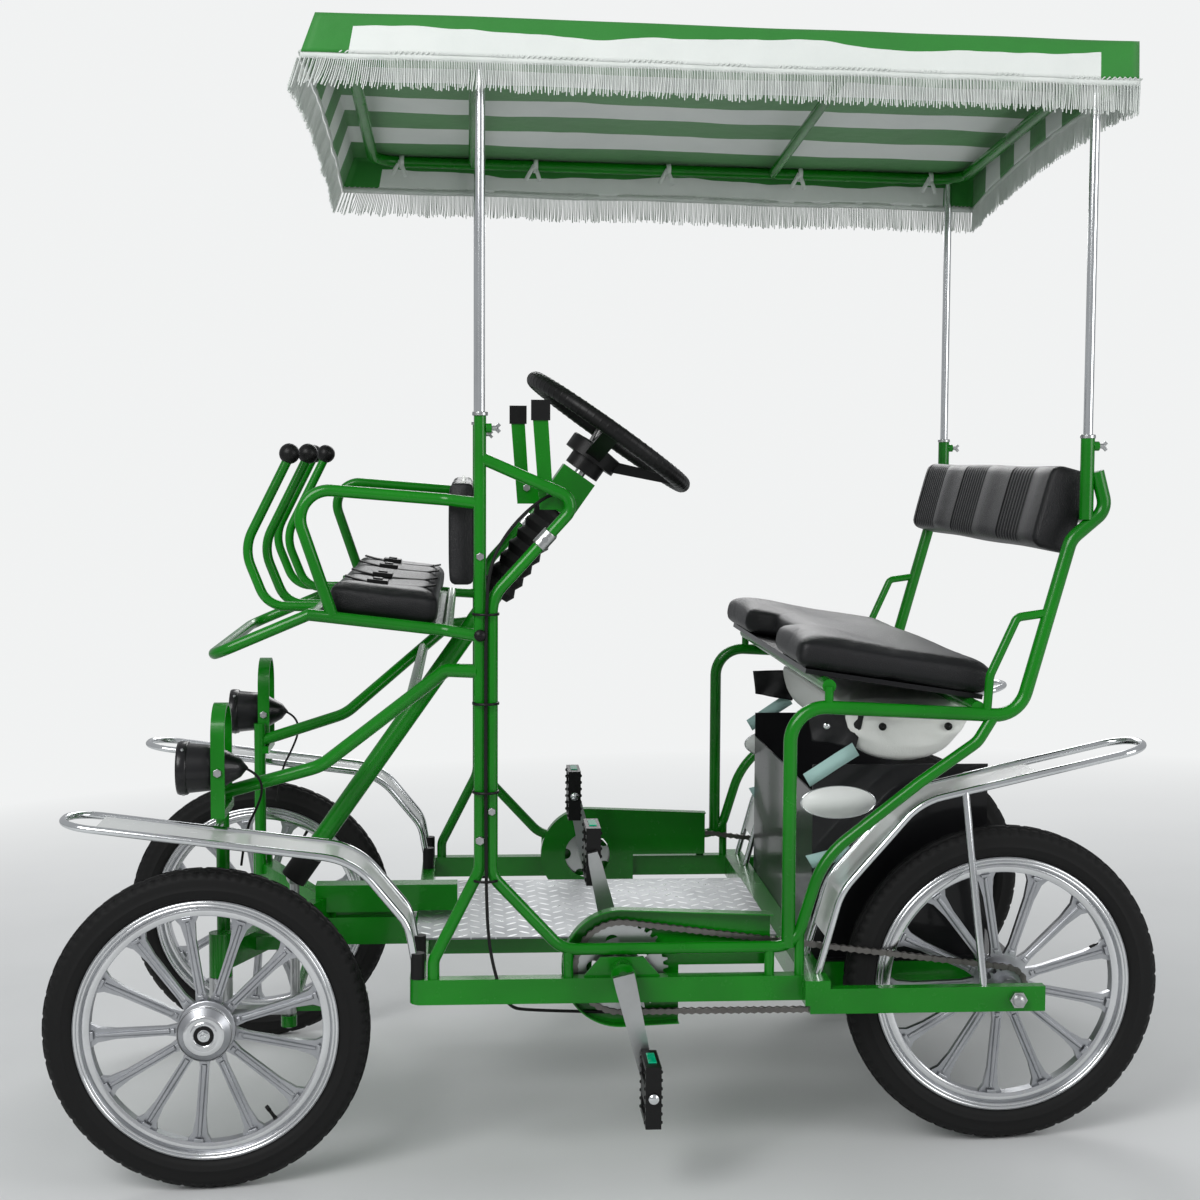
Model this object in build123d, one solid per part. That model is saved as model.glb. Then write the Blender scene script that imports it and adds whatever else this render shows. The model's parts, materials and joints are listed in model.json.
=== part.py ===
from build123d import *
import os
from math import atan2, cos, degrees, pi, radians, sin, sqrt, tan

# Surrey quadricycle: four wheels, a bench for two riders, a child seat and a fringed canopy.
# Units are millimetres. +X is forward, +Y is the vehicle's left, +Z is up.
# The origin is on the ground, midway between the axles.
# The chassis is drawn level, with its own origin at the rear axle, and leans back by the rake.

# Wheels and stance
wheelbase = 1288.0
rake = 2.6
wheel_y = 413.0
tyre_height = 50.0
tyre_width = 46.0
rim_radius = 210.0
rim_width = 34.0
rim_depth = 26.0
rim_step = 13.0
spoke_count = 13
hub_radius = 34.0
front_hub_half = 34.0
hub_cap_radius = 44.0
axle_radius = 8.5
running_gap = 0.05
seat_gap = 0.3

# Lower frame, in the chassis frame
side_y = 470.0
bar_width = 25.0
bar_low = -7.0
bar_high = 33.0
front_cross_back = 338.0
rear_cross_x = 320.0
rear_cross_width = 40.0
floor_rail_y = 150.0
dropout_y = 507.0
inner_bar_y = 345.0
dropout_width = 20.0
dropout_half_height = 20.0
dropout_end_x = -45.0
corner_radius = 20.0

# Tubes
mast_tube = 19.0
rail_tube = 19.0
seat_tube = 22.0
strut_tube = 22.0
child_tube = 19.0
fender_tube = 12.0
fender_reach = 57.0
front_fender = ((15.0, 118.0), (100.0, 222.0), (556.0, 281.0))
rear_fender = ((-44.0, 164.0), (-170.0, 308.0), (-544.0, 394.0))
post_tube = 15.0
canopy_tube = 22.0

# Side frame, in the chassis frame
mast_back = 98.0
mast_pitch = 18.5
mast_top_z = 919.0
rail_z = 77.0
rail_front_back = 130.0
rail_rear_x = 350.0
rail_arc_radius = 365.0
upright_x = 361.0
seat_z = 458.0
bow_rise = 270.0
brace_tube = 14.0
rear_post_x = -108.0
rear_socket_top_z = 889.0
socket_depth = 80.0

# Cranks and chain
crank_share = 0.577
crank_z = 41.0
crank_length = 159.0
crank_lean = 13.4
shell_radius = 20.0
spindle_radius = 8.0
shell_inner_y = 453.0
shell_outer_y = 505.0
outer_arm_y = 531.0
inner_arm_y = 344.0
arm_thickness = 12.0
chain_y = 446.0
chain_pitch = 12.7
ring_teeth = 36
cog_teeth = 16
ring_thickness = 2.4
chain_plate = 1.6
chain_height = 8.5
pedal_pin_radius = 6.0
pedal_length = 96.0
pedal_width = 88.0
pedal_thickness = 24.0
guard_radius = 95.0
guard_wall = 2.0

# Steering
kingpin_y = 330.0
kingpin_lead = 12.0
kingpin_radius = 8.0
housing_radius = 19.0
housing_low = 4.0
housing_high = 76.0
steer_arm = 110.0
tie_z = -72.0
tie_radius = 8.0
column_y = 250.0
column_lean = 35.1
wheel_centre_back = 215.0
wheel_centre_z = 896.0
steering_wheel_radius = 163.0
steering_rim = 13.0
joint_z = 150.0
joint_ball = 14.0
column_tube = 32.0
shaft_radius = 9.0
housing_start = 86.0
housing_end = 156.0
boot_end = 330.0
console_back = 139.5
console_z = 783.0
strut_cross_ahead = 108.0
strut_cross_z = 472.0
lever_top_z = 912.0

# Headlamps
lamp_back = 49.5
lamp_post_y = 290.0
lamp_y = 350.0
lamp_z = 351.0
lamp_yoke_half = 52.0

# Seats, canopy and floor
bench_half = 452.0
bench_slope = 8.5
bench_rear_x = 60.0
bench_front_x = 300.0
pan_thickness = 8.0
pad_thickness = 51.0
pad_front = 300.0
pad_rear = -36.0
pad_recess = 52.0
back_height = 134.0
back_thickness = 62.0
back_centre_x = -82.0
back_centre_z = 774.0
back_lean = 15.0
back_half = 440.0
bench_tube_z = 459.0
child_low = (52.0, 581.0)
child_high = (260.0, 605.0)
child_base_y = 433.0
child_pad_length = 184.0
child_pad_half = 412.0
child_back_low = 71.0
child_back_high = 231.0
child_back_depth = 37.7
guard_rise = 201.0
foot_ahead = 177.0
foot_drop = 77.0
foot_half = 300.0
grab_bars = ((260.0, 52.0), (205.0, 26.0))
grab_reach = 76.0
grab_height = 241.0
knob_radius = 17.0
child_pad_height = 50.0
floor_half = 225.0
bag_rear_x = 24.0
bag_front_x = 268.0
bag_half = 330.0
bag_low_z = 352.0
tray_half = 350.0
tray_wall = 3.0
tray_back_x = 4.0
tray_panel_y = 329.0
tray_setback = 21.0
tray_panel_z = 347.0
tray_front_z = 300.0
tray_back_z = 220.0
canopy_overhang = 30.0
canopy_front_ahead = 248.0
canopy_rear_x = -165.0
canopy_rail_z = 1465.0
canopy_rise = 25.0
canopy_roll = 4.0
canopy_pitch = 1.0
canopy_bend = 60.0
valance_drop = 115.0
valance_flare = 40.0
cloth = 4.0

wheel_radius = rim_radius + tyre_height
canopy_half = side_y + canopy_overhang
front_cross_x = wheelbase - front_cross_back
mast_x = front_cross_x - mast_back
rail_front_x = mast_x - rail_front_back
crank_x = rear_cross_x + (mast_x - rear_cross_x) * crank_share
wheel_centre_x = mast_x - wheel_centre_back
console_x = mast_x - console_back
strut_cross_x = mast_x + strut_cross_ahead
canopy_front_x = mast_x + canopy_front_ahead
lever_places = ((side_y - 34, console_x + 25.5), (64.0, console_x + 51.5))
child_pan = ((mast_x + child_low[0], child_low[1]), (mast_x + child_high[0], child_high[1]))
rear_axle_x = -wheelbase / 2
front_axle_x = wheelbase * cos(radians(rake))
front_axle_z = -wheelbase * sin(radians(rake))
kingpin_x = front_axle_x - kingpin_lead
lamp_rear_x = kingpin_x - lamp_back
arm_low = tie_z + tie_radius + 5
joint_reach = (wheel_centre_z - joint_z) / cos(radians(column_lean))
steer_shaft_x = wheel_centre_x + (wheel_centre_z - joint_z) * tan(radians(column_lean))
column = Plane(origin=(wheel_centre_x, column_y, wheel_centre_z),
               x_dir=(cos(radians(column_lean)), 0, sin(radians(column_lean))),
               z_dir=(-sin(radians(column_lean)), 0, cos(radians(column_lean))))
back_reach = back_thickness / 2 + seat_tube / 2 + seat_gap
back_tube_x = back_centre_x - back_reach * cos(radians(back_lean))
back_tube_z = back_centre_z - back_reach * sin(radians(back_lean))
bench_front_z = bench_tube_z + (bench_front_x - bench_rear_x) * tan(radians(bench_slope))
bench = Plane(origin=(bench_rear_x, 0, bench_tube_z),
              x_dir=(cos(radians(bench_slope)), 0, sin(radians(bench_slope))),
              z_dir=(-sin(radians(bench_slope)), 0, cos(radians(bench_slope))))
canopy_middle_x = (canopy_front_x + canopy_rear_x) / 2
canopy_arc = (canopy_half ** 2 + canopy_rise ** 2) / (2 * canopy_rise)
canopy_centre_z = canopy_rail_z - sqrt((canopy_arc - canopy_tube / 2 - seat_gap) ** 2 - side_y ** 2)


def lean(shape):
    """Puts a chassis piece at the rake, on the rear axle."""
    return Pos(rear_axle_x, 0, wheel_radius) * Rot(0, -rake, 0) * shape


def box_of(x_low, x_high, y_low, y_high, z_low, z_high):
    """A box between two corners."""
    size = (x_high - x_low, y_high - y_low, z_high - z_low)
    middle = ((x_high + x_low) / 2, (y_high + y_low) / 2, (z_high + z_low) / 2)
    return Pos(*middle) * Box(*size)


def tube(points, diameter, bends=None):
    """A round bar along straight runs joined by bends."""
    if bends is None:
        path = Polyline(*points)
    else:
        path = FilletPolyline(*points, radius=bends)
    section = Plane(origin=path @ 0, z_dir=path % 0) * Circle(diameter / 2)
    return sweep(section, path=path)


def side_tube(points, y, diameter, bends=None):
    """A round bar in a plane of constant y, from (x, z) points."""
    return tube([(x, y, z) for x, z in points], diameter, bends)


def cross_rod(x, z, y_low, y_high, radius):
    """A round bar along Y."""
    return Pos(x, (y_low + y_high) / 2, z) * Rot(90, 0, 0) * Cylinder(radius, y_high - y_low)


def upright_rod(x, y, z_low, z_high, radius):
    """A round bar along Z."""
    return Pos(x, y, (z_low + z_high) / 2) * Cylinder(radius, z_high - z_low)


def facing_x(x, y=0, z=0):
    """Where a flat drawing goes to face along X, with its own x along Y and its own y up."""
    return Plane(origin=(x, y, z), x_dir=(0, 1, 0), z_dir=(1, 0, 0)).location


def both(shape):
    """A piece and its mirror image across the vehicle."""
    return shape + mirror(shape, about=Plane.XZ)


def plate(outline, y_low, y_high):
    """A flat plate from an (x, z) outline, between two planes of y."""
    face = make_face(Polyline(*[(x, y_low, z) for x, z in outline], close=True))
    return extrude(face, amount=y_high - y_low, dir=(0, 1, 0))


def one_wheel_rim(hub_in, hub_out, cap):
    """A cast wheel about the Y axis, with its spokes flared at the hub and at the rim."""
    # The rim's section: (distance from the axle, distance from the wheel's middle), a stepped lip each side
    step, lip, bed = rim_radius - rim_step, rim_width / 2, rim_width / 2 - 5
    half_section = [(rim_radius - rim_depth, 10), (step, 11), (step + 2, lip), (rim_radius, lip),
                    (rim_radius, bed), (rim_radius - 6, bed)]
    section = half_section + [(r, -y) for r, y in reversed(half_section)]
    solid = revolve(Plane.XZ * make_face(Polyline(*section, close=True)), axis=Axis.Z)
    hub_length = hub_out - hub_in
    solid += Pos(0, 0, (hub_in + hub_out) / 2) * Cylinder(hub_radius, hub_length)
    solid += Cylinder(hub_radius + 12, 14)
    # Spoke outline: (distance from the axle, half width)
    stations = [(hub_radius + 6, 11.0), (hub_radius + 30, 7.0), (rim_radius - 66, 8.0), (rim_radius - 38, 12.0),
                (rim_radius - rim_depth + 2, 21.0)]
    outline = stations + [(r, -w) for r, w in reversed(stations)]
    spoke = extrude(make_face(Polyline(*outline, close=True)), amount=5, both=True)
    for i in range(spoke_count):
        solid += Rot(0, 0, i * 360 / spoke_count) * spoke
    if cap:
        solid += Pos(0, 0, hub_out + 5) * Cone(hub_cap_radius, hub_cap_radius - 12, 10)
        bore = Pos(0, 0, (hub_in + hub_out) / 2 - 3) * Cylinder(axle_radius + running_gap, hub_length)
    else:
        bore = Cylinder(axle_radius + running_gap, 400)
    return Rot(-90, 0, 0) * (solid - bore)


def one_tyre():
    """A tyre about the Y axis, seated in the rim."""
    crown = wheel_radius
    half = tyre_width / 2
    seat = rim_radius
    outline = Polyline((seat, -rim_width / 2 + 5), (seat + 8, -half), (crown - 14, -half))
    arc = ThreePointArc((crown - 14, -half), (crown, 0), (crown - 14, half))
    rest = Polyline((crown - 14, half), (seat + 8, half), (seat, rim_width / 2 - 5),
                    (seat - 6, rim_width / 2 - 5), (seat - 6, -rim_width / 2 + 5), (seat, -rim_width / 2 + 5))
    face = Plane.XZ * make_face([outline, arc, rest])
    return Rot(-90, 0, 0) * revolve(face, axis=Axis.Z)


def toothed_disc(teeth, thickness):
    """A chain wheel about the Y axis."""
    pitch_radius = chain_pitch / (2 * sin(pi / teeth))
    outline = []
    for i in range(teeth):
        turn = 2 * pi * i / teeth
        step = 2 * pi / teeth
        for share, out in [(-0.3, -4.2), (-0.1, 3.4), (0.1, 3.4), (0.3, -4.2)]:
            angle = turn + share * step
            outline.append(((pitch_radius + out) * cos(angle), (pitch_radius + out) * sin(angle)))
    return Rot(-90, 0, 0) * extrude(make_face(Polyline(*outline, close=True)), amount=thickness / 2, both=True)


def chain_belt(offset, y_low, y_high):
    """The closed outline round both chain wheels, grown by an offset, as a flat plate."""
    big = chain_pitch / (2 * sin(pi / ring_teeth)) + offset
    small = chain_pitch / (2 * sin(pi / cog_teeth)) + offset
    distance = sqrt(crank_x ** 2 + crank_z ** 2)
    tilt = atan2(crank_z, crank_x)
    spread = pi / 2 - atan2(big - small, sqrt(distance ** 2 - (big - small) ** 2))
    angle = pi - spread

    def on(centre_x, centre_z, radius, turn):
        return (centre_x + radius * cos(turn), centre_z + radius * sin(turn))

    top_big = on(crank_x, crank_z, big, tilt + angle)
    low_big = on(crank_x, crank_z, big, tilt - angle)
    nose = on(crank_x, crank_z, big, tilt)
    top_small = on(0, 0, small, tilt + angle)
    low_small = on(0, 0, small, tilt - angle)
    tail = on(0, 0, small, tilt + pi)
    lines = [Line(top_big, top_small), ThreePointArc(top_small, tail, low_small),
             Line(low_small, low_big), ThreePointArc(low_big, nose, top_big)]
    face = make_face(lines)
    solid = extrude(face, amount=(y_high - y_low))
    return Pos(0, y_high, 0) * Rot(90, 0, 0) * solid


def make_lower_frame():
    """Box-section perimeter frame with the rear axle bars, the floor rails and the front spine."""
    inner = bar_width / 2
    bars = box_of(rear_cross_x, front_cross_x, side_y - inner, side_y + inner, bar_low, bar_high)
    dropout = box_of(dropout_end_x, rear_cross_x + 12, dropout_y - dropout_width / 2,
                     dropout_y + dropout_width / 2, -dropout_half_height, dropout_half_height)
    inner_bar = box_of(dropout_end_x, rear_cross_x, inner_bar_y - dropout_width / 2,
                       inner_bar_y + dropout_width / 2, -dropout_half_height, dropout_half_height)
    floor_rail = box_of(rear_cross_x, front_cross_x, floor_rail_y - 15, floor_rail_y + 15, bar_low, bar_high)
    shell = cross_rod(crank_x, crank_z, shell_inner_y, shell_outer_y, shell_radius)
    hump_top = crank_z + shell_radius + 3
    hump = plate([(crank_x - 62, bar_high - 1), (crank_x - 34, hump_top), (crank_x + 34, hump_top),
                  (crank_x + 62, bar_high - 1)], side_y - 3, side_y + 3)
    half = both(bars + dropout + inner_bar + floor_rail + shell + hump)
    reach = dropout_y + dropout_width / 2
    rear_cross = box_of(rear_cross_x - rear_cross_width / 2, rear_cross_x + rear_cross_width / 2,
                        -reach, reach, bar_low, bar_high)
    front_cross = box_of(front_cross_x - inner, front_cross_x + inner, -side_y - inner, side_y + inner,
                         bar_low, bar_high)
    corners = front_cross.edges().filter_by(Axis.Z).group_by(Axis.X)[-1]
    front_cross = fillet(corners, corner_radius)
    tail = box_of(dropout_end_x, dropout_end_x + dropout_width, -inner_bar_y, inner_bar_y,
                  -dropout_half_height, dropout_half_height)
    frame = half + rear_cross + front_cross + tail
    # The side bars end square under the rounded front corners
    for side in (1, -1):
        square = box_of(front_cross_x, front_cross_x + inner + 1, side * side_y - inner, side * side_y + inner,
                        bar_low, bar_high)
        frame = frame - (square - front_cross)
    bore = cross_rod(crank_x, crank_z, shell_inner_y - 1, shell_outer_y + 1, spindle_radius + running_gap)
    axle_hole = cross_rod(0, 0, inner_bar_y - 20, dropout_y + 20, axle_radius)
    return frame - both(bore + axle_hole)


def spine_outline():
    """The two stacked bars that carry the front axle, and where they end."""
    front = kingpin_x - 130
    low = box_of(front_cross_x + bar_width / 2, front, -20, 20, -25, 24)
    high = box_of(front_cross_x - 60, front, -20, 20, 34, 83)
    web = box_of(front_cross_x + 30, front - 10, -8, 8, 23, 35)
    return low + high + web, front


def make_front_axle(lower_frame):
    """Spine, swept arms and the two kingpin housings with the posts above them."""
    spine, front = spine_outline()
    arm_low, arm_high = 18, 60
    face = make_face(Polyline((front - 36, -20, arm_low), (front + 2, 20, arm_low), (kingpin_x + 14, kingpin_y - 8, arm_low),
                              (kingpin_x - 20, kingpin_y + 2, arm_low), close=True))
    arm = extrude(face, amount=arm_high - arm_low, dir=(0, 0, 1))
    housing = upright_rod(kingpin_x, kingpin_y, housing_low, housing_high, housing_radius)
    post = upright_rod(kingpin_x, lamp_post_y, 40, lamp_z - 16, strut_tube / 2)
    bore = upright_rod(kingpin_x, kingpin_y, housing_low - 1, housing_high - 8, kingpin_radius + running_gap)
    side = arm + housing + post
    bearing = upright_rod(steer_shaft_x, column_y, 18, 60, 18)
    bracket = box_of(steer_shaft_x, kingpin_x - 30, column_y - 10, column_y + 10, 28, 50)
    frame = spine + both(side) + bearing + bracket
    frame = frame - both(bore)
    frame = frame - upright_rod(steer_shaft_x, column_y, 0, 100, kingpin_radius + running_gap)
    return frame - lower_frame


def mast_paths():
    """(x, z) points of the front tube and of the rear tube with its console arm."""
    foot_x = front_cross_x - 25
    front = [(foot_x, bar_low + 10), (foot_x, 62), (mast_x, 206), (mast_x, mast_top_z)]
    back_x = mast_x - mast_pitch
    rear = [(back_x, 215), (back_x, 636), (console_x - 15.5, console_z + 3), (mast_x - 3, console_z + 69)]
    return front, rear


def make_mast(lower_frame):
    """Two tubes side by side, with the rear one bent back to carry the steering console."""
    front, rear = mast_paths()
    solid = side_tube(front, side_y, mast_tube, [30, 60])
    solid += side_tube(rear, side_y, mast_tube, [60, 22])
    bore = upright_rod(mast_x, side_y, mast_top_z - socket_depth, mast_top_z + 1, post_tube / 2 + running_gap)
    return solid - bore - lower_frame


def make_side_rail(lower_frame, mast):
    """The tube from the mast, along the side and round the rear wheel up to the seat."""
    back_x = mast_x - mast_pitch
    r = rail_arc_radius
    points = [(back_x, 214.8), (back_x, 196), (rail_front_x, rail_z), (rail_rear_x, rail_z),
              (r * 0.84, r * 0.60), (r * 0.42, r * 0.93), (60, 405), (34, seat_z - 10)]
    solid = side_tube(points, side_y, rail_tube, [40, 50, 45, 150, 120, 40])
    for x, top in ((rail_front_x - 10, rail_z), (upright_x + 30, rail_z), (upright_x - 18, rail_z + 27)):
        solid += upright_rod(x, side_y, bar_high, top, 8.0)
    return solid - lower_frame - mast


def make_seat_frame(side_rail):
    """Seat upright, seat tube and the bow that carries the backrest, with the rear post socket."""
    bow_z = seat_z + bow_rise
    points = [(upright_x, rail_z), (upright_x, seat_z + 6), (-6, seat_z - 12), (-84, bow_z), (-140, bow_z + 48),
              (-124, bow_z + 108)]
    solid = side_tube(points, side_y, seat_tube, [55, 50, 40, 30])
    solid += side_tube([(46, seat_z - 9), (42, seat_z + 53), (0, seat_z + 146), (-48, seat_z + 153)], side_y,
                       brace_tube, [30, 12])
    solid += upright_rod(bench_front_x, side_y, seat_z, bench_front_z, brace_tube / 2)
    socket = upright_rod(rear_post_x, side_y, bow_z + 32, rear_socket_top_z, 11)
    bore = upright_rod(rear_post_x, side_y, rear_socket_top_z - socket_depth, rear_socket_top_z + 1,
                       post_tube / 2 + running_gap)
    return (solid + socket) - bore


def make_struts(mast, front_axle):
    """Tubes from the masts down to the lamp posts, with the cross tube that steadies the column."""
    points = [(mast_x, side_y, 520), (mast_x + 53, side_y - 38, 518), (kingpin_x - 164, lamp_post_y + 35, lamp_z - 2),
              (kingpin_x, lamp_post_y + 2, lamp_z - 51)]
    cross = cross_rod(strut_cross_x, strut_cross_z, -400, 400, child_tube / 2)
    return both(tube(points, strut_tube, [20, 80]) - mast - front_axle) + cross


def make_knuckle():
    """Kingpin, stub axle and steering arm of the left front wheel."""
    top = housing_low - 1
    base = upright_rod(kingpin_x, kingpin_y, tie_z - 8, top, housing_radius)
    pin = upright_rod(kingpin_x, kingpin_y, top - 1, housing_high - 10, kingpin_radius)
    shoulder = cross_rod(front_axle_x, front_axle_z, kingpin_y, wheel_y - front_hub_half - 0.5, 15)
    stub = cross_rod(front_axle_x, front_axle_z, kingpin_y + 10, wheel_y + 30, axle_radius)
    arm = box_of(kingpin_x - steer_arm, kingpin_x, kingpin_y - 12, kingpin_y + 12, arm_low, arm_low + 10)
    end = upright_rod(kingpin_x - steer_arm, kingpin_y, arm_low, arm_low + 10, 12)
    ball = upright_rod(kingpin_x - steer_arm, kingpin_y, tie_z - 12, arm_low + 1, 5)
    return base + shoulder + stub + pin + arm + end + ball


def make_tie_rod():
    """The rod between the steering arms, with the plate that the drop arm moves."""
    x = kingpin_x - steer_arm
    rod = cross_rod(x, tie_z, -kingpin_y, kingpin_y, tie_radius)
    eyes = both(upright_rod(x, kingpin_y, tie_z - 9, tie_z + 9, 13))
    drop_x = steer_shaft_x - steer_arm
    link = box_of(drop_x, x, column_y - 14, column_y + 14, tie_z - 4, tie_z + 4)
    eye = upright_rod(drop_x, column_y, tie_z - 7, tie_z + 7, 14)
    holes = both(upright_rod(x, kingpin_y, tie_z - 20, tie_z + 20, 5 + running_gap))
    hole = upright_rod(drop_x, column_y, tie_z - 20, tie_z + 20, 5 + running_gap)
    return rod + eyes + link + eye - holes - hole


def make_drop_arm():
    """Lower steering shaft with its ball end and the arm under it."""
    shaft = upright_rod(steer_shaft_x, column_y, arm_low, joint_z, kingpin_radius)
    ball = Pos(steer_shaft_x, column_y, joint_z) * Sphere(joint_ball)
    arm = box_of(steer_shaft_x - steer_arm, steer_shaft_x, column_y - 12, column_y + 12, arm_low, arm_low + 10)
    end = upright_rod(steer_shaft_x - steer_arm, column_y, arm_low, arm_low + 10, 12)
    pin = upright_rod(steer_shaft_x - steer_arm, column_y, tie_z - 12, arm_low + 1, 5)
    collar = upright_rod(steer_shaft_x, column_y, 61, 70, 14)
    return shaft + ball + arm + end + pin + collar


def column_rod(start, end, radius):
    """A round bar along the steering column, between two distances below the wheel."""
    return column.location * Pos(0, 0, -(start + end) / 2) * Cylinder(radius, end - start)


def make_steering_wheel():
    """Round rim, three dished spokes and the hub."""
    rim = Torus(steering_wheel_radius - steering_rim, steering_rim)
    hub = Pos(0, 0, -45) * Cylinder(46, 24) + Pos(0, 0, -67) * Cylinder(31, 24)
    outline = [(34, -56), (34, -38), (steering_wheel_radius - 18, 6), (steering_wheel_radius - 18, -6)]
    spoke = plate(outline, -14, 14)
    wheel = rim + hub
    for turn in (90, 180, 270):
        wheel += Rot(0, 0, turn) * spoke
    return column.location * wheel


def make_coupler():
    """Rubber sleeve over the ball joint at the foot of the column."""
    sleeve = column_rod(joint_reach - 46, joint_reach + 4, 22)
    return sleeve - column_rod(joint_reach - 18, joint_reach + 5, joint_ball + 3) \
        - column_rod(joint_reach - 50, joint_reach - 10, shaft_radius)


def make_console(mast, struts):
    """Cross tube between the masts, the housing on it and the fixed column tube below."""
    bar = cross_rod(console_x, console_z, -side_y, side_y, mast_tube / 2) - mast
    housing = column.location * Pos(0, 0, -(housing_start + housing_end) / 2) \
        * Box(62, 62, housing_end - housing_start)
    lower = column_rod(boot_end, joint_reach - 52, column_tube / 2)
    bore = column_rod(60, joint_reach, shaft_radius + running_gap)
    return (bar + housing - bore) + (lower - bore - struts)


def make_boot():
    """Ribbed rubber boot between the housing and the column tube."""
    start, end = housing_end + seat_gap, boot_end - seat_gap
    ribs = 7
    step = (end - start) / ribs
    points = [(13, -start), (25, -start)]
    for i in range(ribs):
        points.append((31, -(start + (i + 0.5) * step)))
        points.append((25, -(start + (i + 1) * step)))
    points.append((13, -end))
    face = Plane.XZ * make_face(Polyline(*points, close=True))
    return column.location * revolve(face, axis=Axis.Z)


def make_crank():
    """Spindle with its chain wheel and two opposite arms, on the left side."""
    spindle = cross_rod(crank_x, crank_z, inner_arm_y, outer_arm_y, spindle_radius)
    ring = toothed_disc(ring_teeth, ring_thickness)
    window = Rot(90, 0, 0) * Cylinder(11, 10)
    for i in range(5):
        angle = 2 * pi * i / 5
        ring -= Pos(44 * cos(angle), 0, 44 * sin(angle)) * window
    solid = spindle + Pos(crank_x, chain_y, crank_z) * ring
    solid += cross_rod(crank_x, crank_z, chain_y - 5, chain_y + 5, 22)
    for y, turn, sign in ((outer_arm_y, 180 + crank_lean, 1), (inner_arm_y, crank_lean, -1)):
        outline = [(-17, -10), (17, -10), (17, 8), (11, crank_length - 8), (8, crank_length + 11),
                   (-8, crank_length + 11), (-11, crank_length - 8), (-17, 8)]
        arm = plate(outline, -arm_thickness / 2, arm_thickness / 2)
        far = arm_thickness / 2 + pedal_width + 8
        pin = Pos(0, sign * far / 2, crank_length) * Rot(90, 0, 0) * Cylinder(pedal_pin_radius, far)
        solid += Pos(crank_x, y, crank_z) * Rot(0, turn, 0) * (arm + pin)
    return solid


def make_pedal(y, turn, sign):
    """One pedal, hanging on its pin."""
    swing = radians(turn)
    x, z = crank_x + crank_length * sin(swing), crank_z + crank_length * cos(swing)
    y_low = arm_thickness / 2 + 5
    body = box_of(-pedal_thickness / 2, pedal_thickness / 2, y_low, y_low + pedal_width,
                  -pedal_length / 2, pedal_length / 2)
    for z_low in (-pedal_length / 2 + 9, 15):
        body -= box_of(-20, 20, y_low + 12, y_low + pedal_width - 12, z_low, z_low + 24)
    body -= cross_rod(0, 0, 0, 200, pedal_pin_radius + running_gap)
    if sign < 0:
        body = mirror(body, about=Plane.XZ)
    return Pos(x, y, z) * body


def make_chain_guard():
    """Open channel over the chain wheel, against the inside of the side bar."""
    y_low, y_high = chain_y - 11, side_y - bar_width / 2

    def outline(radius):
        top = (crank_x, crank_z + radius)
        front = (crank_x + radius, crank_z)
        low = (crank_x, crank_z - radius)
        face = make_face([Polyline(low, (crank_x - 94, crank_z - radius + 4), (crank_x - 94, crank_z),
                                   (crank_x - 244, crank_z), (crank_x - 244, crank_z + radius - 10), top),
                          ThreePointArc(top, front, low)])
        return face

    outer = extrude(outline(guard_radius), amount=y_high - y_low)
    inner = extrude(outline(guard_radius - guard_wall), amount=y_high - y_low)
    shell = Pos(0, y_high, 0) * Rot(90, 0, 0) * outer - Pos(0, y_high + guard_wall, 0) * Rot(90, 0, 0) * inner
    shell -= Pos(0, y_high + guard_wall, 0) * Rot(90, 0, 0) * Pos(-4, 0, 0) \
        * extrude(make_face(Polyline((crank_x - 260, crank_z - 8), (crank_x - 238, crank_z - 8),
                                     (crank_x - 238, crank_z + guard_radius - 12),
                                     (crank_x - 260, crank_z + guard_radius - 12), close=True)), amount=30)
    shell -= box_of(crank_x - 110, crank_x - 84, y_low + guard_wall, y_high + 1, crank_z - guard_radius + 7,
                    crank_z + 20)
    shell -= box_of(crank_x - 240, crank_x - 90, y_low + guard_wall, y_high + 1, crank_z - 6, crank_z + 20)
    return shell - cross_rod(crank_x, crank_z, y_low - 5, y_high, 46)


def make_chain():
    """Two strips of side plates with the chain wheels' teeth between them, joined by rollers."""
    gap = ring_thickness / 2 + 0.5
    half = chain_height / 2
    strips = []
    for y_low, y_high in ((chain_y - gap - chain_plate, chain_y - gap), (chain_y + gap, chain_y + gap + chain_plate)):
        strips.append(chain_belt(half, y_low, y_high) - chain_belt(-half, y_low - 1, y_high + 1))
    solid = strips[0] + strips[1]
    big = chain_pitch / (2 * sin(pi / ring_teeth))
    small = chain_pitch / (2 * sin(pi / cog_teeth))
    for share in (0.25, 0.5, 0.75):
        x = crank_x * share
        reach = small + (big - small) * share
        for way in (1, -1):
            solid += cross_rod(x, crank_z * share + way * reach, chain_y - gap - 0.5, chain_y + gap + 0.5, 3)
    return solid


def make_rear_axle():
    """Fixed rear axle bolt with its spacers and nuts."""
    inner, outer = inner_bar_y - dropout_width / 2, dropout_y + dropout_width / 2
    bolt = cross_rod(0, 0, inner - 9, outer + 14, axle_radius)
    spacers = cross_rod(0, 0, inner + dropout_width, wheel_y - 48.5, 13)
    spacers += cross_rod(0, 0, wheel_y + 62.5, outer - dropout_width, 13)
    for y_low, y_high in ((inner - 8, inner), (outer, outer + 9)):
        nut = extrude(RegularPolygon(14, 6), amount=y_high - y_low)
        spacers += Pos(0, y_high, 0) * Rot(90, 0, 0) * nut
    return bolt + spacers


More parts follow.
